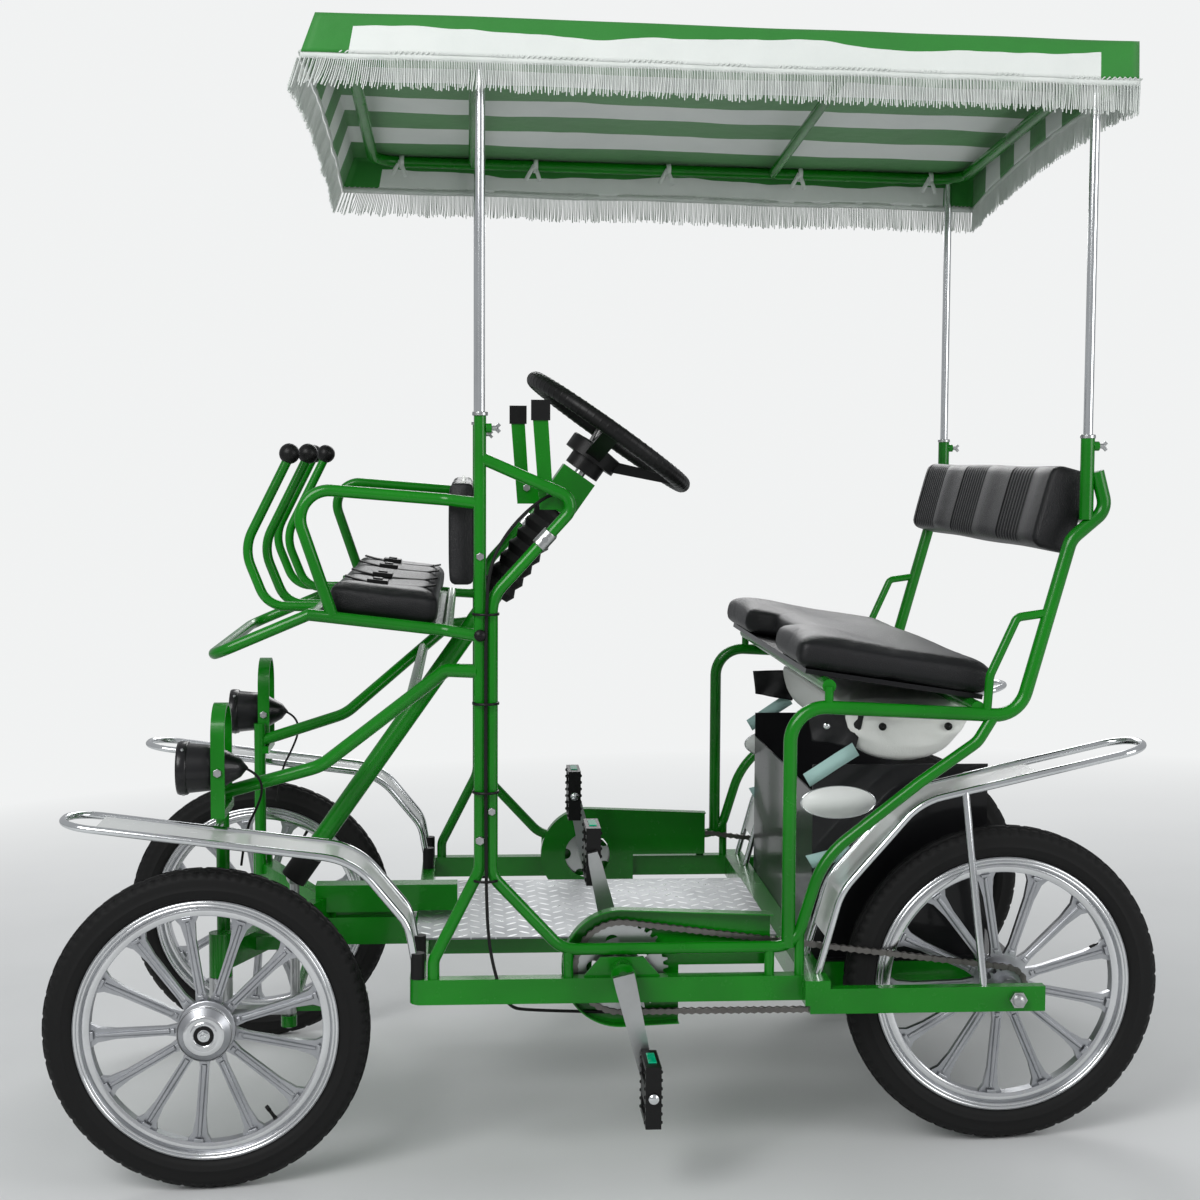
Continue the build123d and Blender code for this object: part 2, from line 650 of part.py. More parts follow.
def make_fenders(lower_frame):
    """Chrome loops over the front and the rear wheel, with the sheet held between the tubes."""
    reach = fender_reach
    radius = fender_tube / 2
    top = bar_high + 0.2
    outer, inner = wheel_y + reach, wheel_y - reach
    front = [(front_cross_x, top)] + [(front_cross_x + x, z) for x, z in front_fender]
    rear = [(rear_cross_x - 8, top)] + [(rear_cross_x + x, z) for x, z in rear_fender]
    loops, sheets = [], []
    # The sheet covers from a share of the first run to a share of the last one
    for points, bends, covered in ((front, [70, 120], (0.55, 0.88)), (rear, [110, 110], (0.42, 0.52))):
        path = [(x, outer, z) for x, z in points] + [(x, inner, z) for x, z in reversed(points)]
        loops.append(tube(path, fender_tube, bends + [50, 50] + list(reversed(bends))) - lower_frame)
        ends = [share_point(points[0], points[1], covered[0]), *points[1:-1],
                share_point(points[-2], points[-1], covered[1])]
        short = [min(bends[0], 40), bends[1]]
        line = FilletPolyline(*[(x, inner + radius + 0.2, z) for x, z in ends], radius=short)
        wide = 2 * (reach - radius - 0.2)
        section = Plane(origin=line @ 0, x_dir=(0, 1, 0), z_dir=line % 0) * Pos(wide / 2, 0) * Rectangle(wide, 2)
        sheets.append(sweep(section, path=line))
    return loops, sheets


def make_fender_stays(lower_frame, front_axle, loops):
    """Stays from the outer bars to the rear fenders, and pegs from the lamp posts to the front ones."""
    stay = tube([(52, dropout_y, dropout_half_height - 4), (78, wheel_y + fender_reach, 325)], fender_tube)
    peg = cross_rod(kingpin_x, 251, lamp_post_y, wheel_y - fender_reach, 5)
    return (stay - lower_frame - loops[1]) + (peg - front_axle - loops[0])


def share_point(start, end, share):
    """The (x, z) point a share of the way from start to end."""
    return (start[0] + (end[0] - start[0]) * share, start[1] + (end[1] - start[1]) * share)


def make_boots():
    """Rubber sockets at the feet of the front fender tubes."""
    feet = []
    for y in (wheel_y - fender_reach, wheel_y + fender_reach):
        outer = upright_rod(front_cross_x, y, bar_high + 0.1, 74, 11)
        feet.append(outer)
    return feet[0] + feet[1]


def make_lamp():
    """Bullet-shaped lamp body about its own axis, pointing forward."""
    outline = [(0, 0), (12, 15), (36, 29), (60, 37), (110, 42), (110, 38), (104, 38), (104, 0)]
    face = Plane.XY * make_face(Polyline(*outline, close=True))
    return Pos(lamp_rear_x, lamp_y, lamp_z) * revolve(face, axis=Axis.X)


def make_lens():
    """Lamp glass, seated in the lamp's front."""
    return Pos(lamp_rear_x + 104 + 2.2, lamp_y, lamp_z) * Rot(0, 90, 0) * Cylinder(37.8, 4)


def make_yoke(lamp, front_axle):
    """Inverted U of flat bar that holds the lamp, on a block welded to the post."""
    x = lamp_rear_x + 43
    outer = Pos(0, 0) * Circle(lamp_yoke_half) + Pos(0, -60) * Rectangle(2 * lamp_yoke_half, 120)
    inner = Circle(lamp_yoke_half - 5) + Pos(0, -65) * Rectangle(2 * lamp_yoke_half - 10, 130)
    arch = extrude(outer - inner, amount=11, both=True)
    arch = facing_x(x, lamp_y, lamp_z + 54) * arch
    block = box_of(x - 11, x + 11, lamp_post_y - 10, lamp_y + lamp_yoke_half, lamp_z - 74, lamp_z - 60)
    pivots = cross_rod(x, lamp_z, lamp_y - lamp_yoke_half, lamp_y - 20, 4)
    pivots += cross_rod(x, lamp_z, lamp_y + 20, lamp_y + lamp_yoke_half, 4)
    return arch + block + pivots - lamp - front_axle


def make_seat_cross():
    """Cross tubes under the bench and behind the backrest."""
    radius = seat_tube / 2
    return cross_rod(bench_front_x, bench_front_z, -side_y, side_y, radius) \
        + cross_rod(bench_rear_x, bench_tube_z, -side_y, side_y, radius) \
        + cross_rod(back_tube_x, back_tube_z, -side_y, side_y, radius)


def make_bench_pad(low):
    """The bench pad in its own plane: a thigh rest in front of each rider and a recess between them."""
    ramp = 0.4 * bench_half
    corner = 0.08 * bench_half
    outline = [(pad_rear, -bench_half), (pad_front, -bench_half), (pad_front, -ramp),
               (pad_front - pad_recess, corner - ramp), (pad_front - pad_recess, ramp - corner), (pad_front, ramp),
               (pad_front, bench_half), (pad_rear, bench_half)]
    solid = extrude(make_face(Polyline(*outline, close=True)), amount=pad_thickness)
    solid = fillet(solid.edges().filter_by(Axis.Z), 14)
    return Pos(0, 0, low) * fillet(solid.edges().group_by(Axis.Z)[-1], 13)


def make_child_frame(mast):
    """Child seat: base, pan, side guards, footrest and grab bars."""
    base_y = child_base_y
    (rear_x, rear_z), (front_x, front_z) = child_pan
    guard_z = rear_z + guard_rise
    low = [(mast_x, side_y, rear_z - 6), (rear_x, base_y, rear_z), (front_x + 10, base_y, front_z + 1)]
    guard = [(mast_x, side_y, guard_z), (rear_x, base_y, guard_z + 5), (front_x + 40, base_y, guard_z + 24),
             (front_x - 29, base_y, front_z - 1)]
    sides = both(tube(low, child_tube, [40]) + tube(guard, child_tube, [40, 45]))
    front = cross_rod(front_x, front_z, -base_y, base_y, child_tube / 2)
    rails = cross_rod(rear_x, rear_z, -base_y, base_y, child_tube / 2)
    rails += cross_rod(mast_x, guard_z, -side_y, side_y, child_tube / 2)
    pan = plate([(rear_x, rear_z - 2), (rear_x, rear_z + 2), (front_x, front_z + 2), (front_x, front_z - 2)],
                -base_y, base_y)
    foot_x, foot_z = front_x + foot_ahead, front_z - foot_drop
    foot = tube([(front_x, foot_half, front_z - 2), (foot_x, foot_half, foot_z), (foot_x, -foot_half, foot_z),
                 (front_x, -foot_half, front_z - 2)], child_tube, [40, 40])
    bars = None
    for y, reach in grab_bars:
        x = front_x + reach
        bar = tube([(front_x - 6, y, front_z), (x + grab_reach / 2, y, front_z + 1),
                    (x + grab_reach, y, front_z + 0.4 * grab_height), (x + 4, y, front_z + grab_height)],
                   child_tube - 3, [45, 70])
        bars = bar if bars is None else bars + bar
    return sides + front + rails + pan + foot + both(bars) - mast


def make_knobs(child_frame):
    """Ball knobs on the grab bars."""
    knobs = None
    for y, reach in grab_bars:
        for sign in (1, -1):
            ball = Pos(child_pan[1][0] + reach, sign * y, child_pan[1][1] + grab_height + 12) * Sphere(knob_radius)
            knobs = ball if knobs is None else knobs + ball
    return knobs - child_frame


def on_posts(shape):
    """Puts a level canopy piece at the slant that the clamped posts give it."""
    return Pos(canopy_middle_x, 0, canopy_rail_z) * Rot(canopy_roll, -canopy_pitch, 0) \
        * Pos(-canopy_middle_x, 0, -canopy_rail_z) * shape


def make_canopy_frame():
    """Bent side rails and cross bars of the canopy."""
    z = canopy_rail_z
    frame = None
    for end_x in (canopy_rear_x + 32, canopy_front_x - 40):
        bow = tube([(canopy_middle_x, side_y, z), (end_x, side_y, z), (end_x, -side_y, z),
                    (canopy_middle_x, -side_y, z)], canopy_tube, [canopy_bend, canopy_bend])
        frame = bow if frame is None else frame + bow
    for x in (upright_x - 106, mast_x + 8):
        frame += cross_rod(x, z, -side_y, side_y, canopy_tube / 2 - 1.5)
    return on_posts(frame)


def make_posts(canopy_frame):
    """Four bright posts, from the sockets up to the canopy frame."""
    posts = None
    for x, top in ((mast_x, mast_top_z), (rear_post_x, rear_socket_top_z)):
        for sign in (1, -1):
            reach = canopy_rail_z + sign * side_y * sin(radians(canopy_roll)) \
                + (x - canopy_middle_x) * sin(radians(canopy_pitch))
            post = upright_rod(x, sign * side_y, top - socket_depth, reach, post_tube / 2)
            posts = post if posts is None else posts + post
    return posts - canopy_frame


def make_roof():
    """Crowned sheet of the canopy roof, lying on the side rails."""
    band = Circle(canopy_arc + cloth) - Circle(canopy_arc)
    band = Pos(0, canopy_centre_z) * band & Pos(0, canopy_rail_z) * Rectangle(2 * canopy_half, 4 * canopy_rise)
    return on_posts(facing_x(canopy_rear_x) * extrude(band, amount=canopy_front_x - canopy_rear_x))


def make_valance():
    """Four hanging flaps under the roof's edge, the front one flared forward."""
    edge_z = canopy_centre_z + sqrt(canopy_arc ** 2 - canopy_half ** 2) - seat_gap
    low = edge_z - valance_drop
    crown = canopy_centre_z + canopy_arc
    side = box_of(canopy_rear_x + 6, canopy_front_x - 6, canopy_half - cloth, canopy_half, low, edge_z)
    half = canopy_half - cloth - seat_gap
    flare = valance_flare * (crown - low) / valance_drop
    front = plate([(canopy_front_x + valance_flare - flare - cloth, crown), (canopy_front_x + valance_flare - flare, crown),
                   (canopy_front_x + valance_flare, low), (canopy_front_x + valance_flare - cloth, low)], -half, half)
    rear = box_of(canopy_rear_x, canopy_rear_x + cloth, -half, half, low, crown)
    under_roof = Pos(0, 0, canopy_centre_z) * Rot(0, 90, 0) * Cylinder(canopy_arc - seat_gap, 4 * canopy_front_x)
    return on_posts(both(side) + ((front + rear) & under_roof))


def make_levers(console):
    """Two flat parking brake levers on the console tube."""
    levers = None
    for y, x in lever_places:
        outline = [(console_x - 10, console_z - 11), (x + 20, console_z - 11), (x + 31, lever_top_z),
                   (x + 7, lever_top_z), (x, console_z + 22), (console_x - 10, console_z + 12)]
        lever = plate(outline, y - 2.5, y + 2.5)
        levers = lever if levers is None else levers + lever
    return levers - console


def make_lever_caps():
    """Black caps on the brake levers."""
    caps = None
    for y, x in lever_places:
        cap = box_of(x + 4, x + 34, y - 5, y + 5, lever_top_z, lever_top_z + 32)
        caps = cap if caps is None else caps + cap
    return caps


def make_cargo_box():
    """Open tray under the bench with its side panels."""
    front_x = rear_cross_x - tray_setback
    low = dropout_half_height + tray_wall
    inside_y = tray_panel_y - tray_wall
    floor = box_of(dropout_end_x, front_x, -tray_half, tray_half, dropout_half_height, low)
    panel = box_of(tray_back_x, front_x, inside_y, tray_panel_y, low - 1, tray_panel_z)
    front = box_of(front_x - tray_wall, front_x, -inside_y - 2, inside_y + 2, low - 1, tray_front_z)
    rear = box_of(tray_back_x, tray_back_x + tray_wall, -inside_y - 2, inside_y + 2, low - 1, tray_back_z)
    return floor + both(panel) + front + rear


lower_frame = make_lower_frame()
front_axle = make_front_axle(lower_frame)
mast = make_mast(lower_frame)
rail = make_side_rail(lower_frame, mast)
rail_low = rail & box_of(-200, 900, 400, 500, 0, 200)
seat_side = make_seat_frame(rail) - rail_low
rail = rail - seat_side
masts = both(mast)
seat_frame = both(seat_side)
seat_frame = seat_frame + make_seat_cross()
struts = make_struts(mast, front_axle)
console = make_console(masts, struts)
child_frame = make_child_frame(masts)
canopy_frame = make_canopy_frame()
loops, sheets = make_fenders(lower_frame)
lamp = make_lamp()
boots = make_boots()
levers = make_levers(console)

pan_low = seat_tube / 2
pad_low = pan_low + pan_thickness + seat_gap
pan = bench.location * box_of(pad_rear + 20, pad_front - 24, 24 - bench_half, bench_half - 24, pan_low,
                              pan_low + pan_thickness)
pad = bench.location * make_bench_pad(pad_low)
backrest = Pos(back_centre_x, 0, back_centre_z) * Rot(0, -back_lean, 0) \
    * fillet(Box(back_thickness, 2 * back_half, back_height).edges(), 12)
child_slope = atan2(child_pan[1][1] - child_pan[0][1], child_pan[1][0] - child_pan[0][0])
child_rise = (2 + child_pad_height / 2) / cos(child_slope) + seat_gap
child_pad = Pos((child_pan[0][0] + child_pan[1][0]) / 2, 0, (child_pan[0][1] + child_pan[1][1]) / 2 + child_rise) \
    * Rot(0, -degrees(child_slope), 0) \
    * fillet(Box(child_pad_length, 2 * child_pad_half, child_pad_height).edges(), 10)
child_back_x = mast_x + mast_tube / 2 + seat_gap
child_back = box_of(child_back_x, child_back_x + child_back_depth, -child_pad_half, child_pad_half,
                    child_low[1] + child_back_low, child_low[1] + child_back_high)
child_back = fillet(child_back.edges(), 9)
floor_plate = box_of(rear_cross_x + 20, front_cross_x + 10, -floor_half, floor_half, bar_high, bar_high + 3)
bag = box_of(bag_rear_x, bag_front_x, -bag_half, bag_half, bag_low_z, bench_tube_z - seat_tube / 2 - seat_gap)
bag = fillet(bag.edges(), 14)

chassis_nodes = {
    "lower_frame": lower_frame,
    "front_axle": front_axle,
    "masts": masts,
    "side_rails": both(rail),
    "seat_frame": seat_frame,
    "front_struts": struts,
    "knuckle_left": make_knuckle(),
    "knuckle_right": mirror(make_knuckle(), about=Plane.XZ),
    "tie_rod": make_tie_rod(),
    "drop_arm": make_drop_arm(),
    "steering_wheel": make_steering_wheel(),
    "steering_shaft": column_rod(79, joint_reach - joint_ball - 1, shaft_radius),
    "steering_coupler": make_coupler(),
    "console": console,
    "column_boot": make_boot(),
    "brake_levers": levers,
    "lever_caps": make_lever_caps(),
    "chain_guards": both(make_chain_guard()),
    "chains": both(make_chain()),
    "rear_axles": both(make_rear_axle()),
    "fender_tubes_front": both(loops[0]),
    "fender_tubes_rear": both(loops[1]),
    "fender_sheets": both(sheets[0]) + both(sheets[1]),
    "fender_boots": both(boots - loops[0]),
    "fender_stays": both(make_fender_stays(lower_frame, front_axle, loops)),
    "headlamps": both(lamp),
    "headlamp_lenses": both(make_lens()),
    "headlamp_yokes": both(make_yoke(lamp, front_axle) - struts),
    "bench_pan": pan,
    "bench_cushion": pad,
    "backrest_cushion": backrest,
    "child_seat_frame": child_frame,
    "grab_knobs": make_knobs(child_frame),
    "child_seat_cushion": child_pad,
    "child_backrest": child_back,
    "floor_plate": floor_plate - front_axle,
    "cargo_tray": make_cargo_box(),
    "stowage_bag": bag,
    "canopy_frame": canopy_frame,
    "canopy_posts": make_posts(canopy_frame),
    "canopy_roof": make_roof(),
    "canopy_valance": make_valance(),
}
crank = make_crank()
for side, flip in (("left", False), ("right", True)):
    pieces = {"crank": crank,
              "pedal_outer": make_pedal(outer_arm_y, 180 + crank_lean, 1),
              "pedal_inner": make_pedal(inner_arm_y, crank_lean, -1)}
    for name, shape in pieces.items():
        chassis_nodes[f"{name}_{side}"] = mirror(shape, about=Plane.XZ) if flip else shape

nodes = {name: lean(shape) for name, shape in chassis_nodes.items()}

# Wheels turn about level axles, so they are placed in the ground frame
front_rim = one_wheel_rim(-front_hub_half, front_hub_half, True)
nose = cross_rod(0, 0, 23, 62, 20) - cross_rod(0, 0, 20, 70, axle_radius + running_gap)
cog = toothed_disc(cog_teeth, ring_thickness) - cross_rod(0, 0, -5, 5, 16)
rear_rim = one_wheel_rim(-48, 24, False) + nose + Pos(0, chain_y - wheel_y, 0) * cog
tyre = one_tyre()
for side, sign in (("left", 1), ("right", -1)):
    for end, rim, x in (("front", front_rim, wheelbase / 2), ("rear", rear_rim, -wheelbase / 2)):
        shape = rim if sign > 0 else mirror(rim, about=Plane.XZ)
        nodes[f"rim_{end}_{side}"] = Pos(x, sign * wheel_y, wheel_radius) * shape
        nodes[f"tyre_{end}_{side}"] = Pos(x, sign * wheel_y, wheel_radius) * tyre

os.makedirs("parts", exist_ok=True)
for name, shape in nodes.items():
    export_step(shape, f"parts/{name}.step")
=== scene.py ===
import json
import math
import random

import bmesh
import bpy
from mathutils import Matrix, Vector, noise


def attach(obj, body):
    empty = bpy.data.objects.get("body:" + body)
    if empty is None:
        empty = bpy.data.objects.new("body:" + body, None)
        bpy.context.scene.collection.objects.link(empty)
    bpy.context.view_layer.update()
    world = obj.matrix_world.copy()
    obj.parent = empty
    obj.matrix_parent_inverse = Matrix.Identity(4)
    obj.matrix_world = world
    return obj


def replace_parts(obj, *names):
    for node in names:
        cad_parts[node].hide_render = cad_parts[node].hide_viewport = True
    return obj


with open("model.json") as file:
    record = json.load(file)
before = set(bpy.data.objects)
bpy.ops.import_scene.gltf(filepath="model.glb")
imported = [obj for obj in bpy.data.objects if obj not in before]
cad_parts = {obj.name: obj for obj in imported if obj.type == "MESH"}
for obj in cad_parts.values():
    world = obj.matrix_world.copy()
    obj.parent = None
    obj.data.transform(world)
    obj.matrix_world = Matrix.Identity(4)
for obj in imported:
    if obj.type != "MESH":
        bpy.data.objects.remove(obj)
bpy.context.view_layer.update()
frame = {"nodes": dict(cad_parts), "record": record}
print("frame loaded,", len(frame["nodes"]), "nodes")


def shifted(x, y, z):
    return Matrix.Translation((x, y, z))


def turned(angle, axis):
    return Matrix.Rotation(angle, 4, axis)


toMetres = Matrix.Scale(0.001, 4)

# The chassis leans back a little on its wheels. Places on it are in millimetres from the rear axle.
stance = {"wheelRadius": 260.0, "wheelbase": 1288.0, "rake": 2.6, "sideY": 470.0}
chassis = (shifted(-stance["wheelbase"] / 2000, 0, stance["wheelRadius"] / 1000)
           @ turned(-math.radians(stance["rake"]), "Y") @ toMetres)
frameTurn = chassis.to_3x3().normalized()
upward = (chassis.to_3x3() @ Vector((0, 0, 1))).normalized()


def at(x, y, z):
    return chassis @ Vector((x, y, z))


# Materials


def operator(operation, swapped=False):
    # a method of Wire that adds a Math node
    def act(self, other=0.0):
        return self.math(operation, other, self) if swapped else self.math(operation, self, other)
    return act


class Wire:
    # one output of a node: sums and products on it add Math nodes
    def __init__(self, finish, socket):
        self.finish = finish
        self.socket = socket

    def math(self, operation, first, second=0.0):
        return self.finish.add("ShaderNodeMath", {"operation": operation}, {0: first, 1: second})

    __add__ = operator("ADD")
    __radd__ = operator("ADD", True)
    __sub__ = operator("SUBTRACT")
    __rsub__ = operator("SUBTRACT", True)
    __mul__ = operator("MULTIPLY")
    __truediv__ = operator("DIVIDE")
    __gt__ = operator("GREATER_THAN")
    __lt__ = operator("LESS_THAN")
    wave = operator("SINE")
    size = operator("ABSOLUTE")
    # what is left after the whole number
    share = operator("FRACT")


class Finish:
    # a material with one Principled shader, and its nodes added by name
    def __init__(self, name, **plain):
        self.material = bpy.data.materials.new(name)
        self.material.use_nodes = True
        self.tree = self.material.node_tree
        self.tree.nodes.clear()
        self.shader = self.tree.nodes.new("ShaderNodeBsdfPrincipled")
        output = self.tree.nodes.new("ShaderNodeOutputMaterial")
        self.tree.links.new(self.shader.outputs[0], output.inputs[0])
        for key, value in plain.items():
            self.feed(self.shader.inputs[key.replace("_", " ")], value)

    def feed(self, socket, value):
        if isinstance(value, Wire):
            self.tree.links.new(value.socket, socket)
        elif socket.type == "RGBA" and len(value) == 3:
            socket.default_value = (*value, 1)
        else:
            socket.default_value = value

    def add(self, kind, settings=None, values=None, output=0):
        node = self.tree.nodes.new(kind)
        for key, value in (settings or {}).items():
            if key == "stops":
                ramp = node.color_ramp
                ramp.elements[0].position, ramp.elements[0].color = value[0][0], (*value[0][1], 1)
                ramp.elements[1].position, ramp.elements[1].color = value[-1][0], (*value[-1][1], 1)
                for place, colour in value[1:-1]:
                    ramp.elements.new(place).color = (*colour, 1)
            else:
                setattr(node, key, value)
        for key, value in (values or {}).items():
            self.feed(node.inputs[key], value)
        return Wire(self, node.outputs[output])

    def place(self, turn=(0, 0, 0), stretch=(1, 1, 1)):
        point = self.add("ShaderNodeTexCoord", output="Object")
        return self.add("ShaderNodeMapping", {}, {"Vector": point, "Rotation": turn, "Scale": stretch})

    def axes(self, point):
        return [self.add("ShaderNodeSeparateXYZ", {}, {0: point}, output=i) for i in range(3)]

    def noise(self, point, scale, detail=2.0, roughness=0.5):
        return self.add("ShaderNodeTexNoise", {}, {"Vector": point, "Scale": scale, "Detail": detail,
                                                   "Roughness": roughness})

    def spread(self, value, low, high, outLow, outHigh):
        return self.add("ShaderNodeMapRange", {}, {0: value, 1: low, 2: high, 3: outLow, 4: outHigh})

    def mix(self, factor, first, second):
        node = self.tree.nodes.new("ShaderNodeMix")
        node.data_type = "RGBA"
        self.feed(node.inputs["Factor"], factor)
        self.feed(node.inputs[6], first)
        self.feed(node.inputs[7], second)
        return Wire(self, node.outputs[2])

    def relief(self, height, strength, distance, under=None):
        values = {"Height": height, "Strength": strength, "Distance": distance}
        if under is not None:
            values["Normal"] = under
        return self.add("ShaderNodeBump", {}, values)

    def set(self, **links):
        for key, value in links.items():
            self.feed(self.shader.inputs[key.replace("_", " ")], value)
        return self


colours = {
    "green": (0.003, 0.2, 0.004),
    "greenDeep": (0.001, 0.13, 0.002),
    "black": (0.005, 0.005, 0.006),
    "white": (0.78, 0.79, 0.77),
    "cloth": (0.74, 0.77, 0.74),
    "clothGreen": (0.004, 0.21, 0.008),
    "alloy": (0.5, 0.51, 0.53),
    "chrome": (0.78, 0.8, 0.81),
    "steel": (0.52, 0.53, 0.53),
    "teal": (0.36, 0.55, 0.52),
}


def paint(name, colour, deep, roughness, coat):
    # gloss paint: a slight orange peel, soft clouds of a deeper tone and rougher scuffed patches
    finish = Finish(name, Coat_Weight=coat, Coat_Roughness=0.08, Specular_IOR_Level=0.25)
    point = finish.place()
    peel = finish.noise(point, 260.0, 2.0)
    cloud = finish.noise(point, 5.0, 3.0)
    scuff = finish.spread(finish.noise(point, 38.0, 6.0, 0.7), 0.62, 0.7, 0.0, 1.0)
    base = finish.mix(finish.spread(cloud, 0.35, 0.7, 0.0, 1.0), colour, deep)
    finish.set(Base_Color=base, Roughness=roughness + scuff * 0.12 + cloud * 0.05,
               Normal=finish.relief(peel, 0.05, 0.001))
    return finish


def brightMetal(name, colour, roughness, grain, stretch=(1, 1, 1)):
    # plated or brushed metal: fine scratches one way and a cloudy haze
    finish = Finish(name, Metallic=1.0)
    point = finish.place()
    lines = finish.noise(finish.place((0, 0, 0), stretch), grain, 4.0, 0.6)
    haze = finish.noise(point, 9.0, 4.0, 0.6)
    tint = finish.mix(finish.spread(haze, 0.35, 0.75, 0.0, 1.0), colour, tuple(c * 0.82 for c in colour))
    finish.set(Base_Color=tint, Roughness=roughness + haze * 0.08 + lines * 0.06,
               Normal=finish.relief(lines, 0.06, 0.0006))
    return finish


def moulded(name, colour, roughness, grain=520.0, depth=0.2):
    # moulded plastic or rubber with a fine skin
    finish = Finish(name, Specular_IOR_Level=0.22)
    point = finish.place()
    skin = finish.noise(point, grain, 3.0)
    cloud = finish.noise(point, 7.0, 3.0)
    base = finish.mix(cloud, colour, tuple(min(1.0, c * 1.2 + 0.001) for c in colour))
    finish.set(Base_Color=base, Roughness=roughness + cloud * 0.12, Normal=finish.relief(skin, depth, 0.0006))
    return finish


def castAlloy():
    # silver wheel casting: soft sand texture, brighter and smoother on the machined lip
    finish = Finish("castAlloy", Metallic=1.0)
    point = finish.place()
    sand = finish.noise(point, 420.0, 4.0, 0.65)
    cloud = finish.noise(point, 11.0, 4.0, 0.6)
    tint = finish.mix(finish.spread(cloud, 0.3, 0.75, 0.0, 1.0), colours["alloy"], (0.36, 0.37, 0.39))
    finish.set(Base_Color=tint, Roughness=0.24 + cloud * 0.14 + sand * 0.06,
               Normal=finish.relief(sand, 0.12, 0.0005))
    return finish


def vinyl(name, colour, roughness, grain=150.0, depth=0.35):
    # stitched upholstery vinyl: pebbled cells with soft creases
    finish = Finish(name, Specular_IOR_Level=0.32)
    point = finish.place()
    cells = finish.add("ShaderNodeTexVoronoi", {"feature": "DISTANCE_TO_EDGE"},
                       {"Vector": point, "Scale": grain * 2.4})
    pebble = finish.spread(cells, 0.0, 0.22, 0.0, 1.0)
    crease = finish.noise(point, 26.0, 5.0, 0.6)
    cloud = finish.noise(point, 4.5, 3.0)
    base = finish.mix(cloud, colour, tuple(min(1.0, c * 1.15 + 0.001) for c in colour))
    under = finish.relief(crease, 0.25, 0.004)
    finish.set(Base_Color=base, Roughness=roughness + cloud * 0.1,
               Normal=finish.relief(pebble, depth, 0.0006, under))
    return finish


def treadPlate():
    # aluminium floor plate with raised bars laid crosswise in a chequer
    finish = Finish("treadPlate", Metallic=1.0)
    x, y, z = finish.axes(finish.place((0, 0, math.radians(45)), (1, 1, 1)))
    cell = 0.03
    across, along = x / cell, y / cell
    column = (across + along).math("FLOOR", across)
    row = along.math("FLOOR", along)
    chequer = ((column + row) * 0.5).share() > 0.25
    u = across.share() - 0.5
    v = along.share() - 0.5
    long = (u * u / 0.16 + v * v / 0.012) < 1.0
    wide = (u * u / 0.012 + v * v / 0.16) < 1.0
    bars = long * chequer + wide * (1.0 - chequer)
    haze = finish.noise(finish.place(), 14.0, 5.0, 0.65)
    tint = finish.mix(finish.spread(haze, 0.3, 0.8, 0.0, 1.0), (0.3, 0.31, 0.32), (0.2, 0.21, 0.22))
    worn = finish.mix(bars, tint, (0.62, 0.63, 0.64))
    finish.set(Base_Color=worn, Roughness=0.42 + haze * 0.14 - bars * 0.2,
               Normal=finish.relief(bars, 1.0, 0.003))
    return finish


greenPaint = paint("greenPaint", colours["green"], colours["greenDeep"], 0.24, 0.3)
blackPaint = paint("blackPaint", colours["black"], (0.008, 0.008, 0.009), 0.3, 0.25)
fenderWhite = paint("fenderWhite", colours["white"], (0.7, 0.72, 0.71), 0.22, 0.7)
chromePlate = brightMetal("chromePlate", colours["chrome"], 0.06, 420.0, (1, 1, 0.05))
steelPart = brightMetal("steelPart", colours["steel"], 0.24, 300.0)
chainSteel = brightMetal("chainSteel", (0.2, 0.19, 0.18), 0.32, 200.0)
wheelAlloy = castAlloy()
floorTread = treadPlate()
tyreRubber = moulded("tyreRubber", (0.005, 0.005, 0.005), 0.58, 900.0, 0.25)
softRubber = moulded("softRubber", (0.006, 0.006, 0.006), 0.5)
blackPlastic = moulded("blackPlastic", (0.006, 0.006, 0.006), 0.32, 700.0, 0.12)
blackVinyl = vinyl("blackVinyl", (0.007, 0.007, 0.008), 0.36)
whiteVinyl = vinyl("whiteVinyl", (0.76, 0.77, 0.74), 0.4, 90.0, 0.18)
strapWeb = vinyl("strapWeb", colours["teal"], 0.62, 300.0, 0.3)
lampGlass = Finish("lampGlass", Base_Color=(0.9, 0.93, 0.93), Roughness=0.04, Transmission_Weight=0.85,
                   IOR=1.45)
greenReflector = Finish("greenReflector", Base_Color=(0.0, 0.5, 0.25), Roughness=0.12, Coat_Weight=1.0)
print("materials made")

# The record's slots, and the finish that each CAD node of that slot wears
slotFinish = {
    "green_paint": greenPaint, "black_paint": blackPaint, "chrome": chromePlate, "steel": steelPart,
    "chain_steel": chainSteel, "cast_alloy": wheelAlloy, "tread_plate": floorTread, "tyre": tyreRubber,
    "rubber": softRubber, "black_plastic": blackPlastic, "black_vinyl": blackVinyl,
    "white_vinyl": whiteVinyl, "fender_white": fenderWhite, "canopy_cloth": whiteVinyl, "lens": lampGlass,
}
for row in frame["record"]["subparts"]:
    node = frame["nodes"][row["node"]]
    node.data.materials.clear()
    node.data.materials.append(slotFinish[row["material_slot"]].material)
    node.data.shade_smooth()
    weld = node.modifiers.new("weld", "WELD")
    weld.merge_threshold = 0.00002
    crisp = node.modifiers.new("crisp", "EDGE_SPLIT")
    crisp.split_angle = math.radians(34)
print("CAD nodes finished")


# Making and placing pieces


def linked(name, data):
    made = bpy.data.objects.new(name, data)
    bpy.context.scene.collection.objects.link(made)
    return made


def cornersOf(parts):
    return [part for part in parts if isinstance(part, bmesh.types.BMVert)]


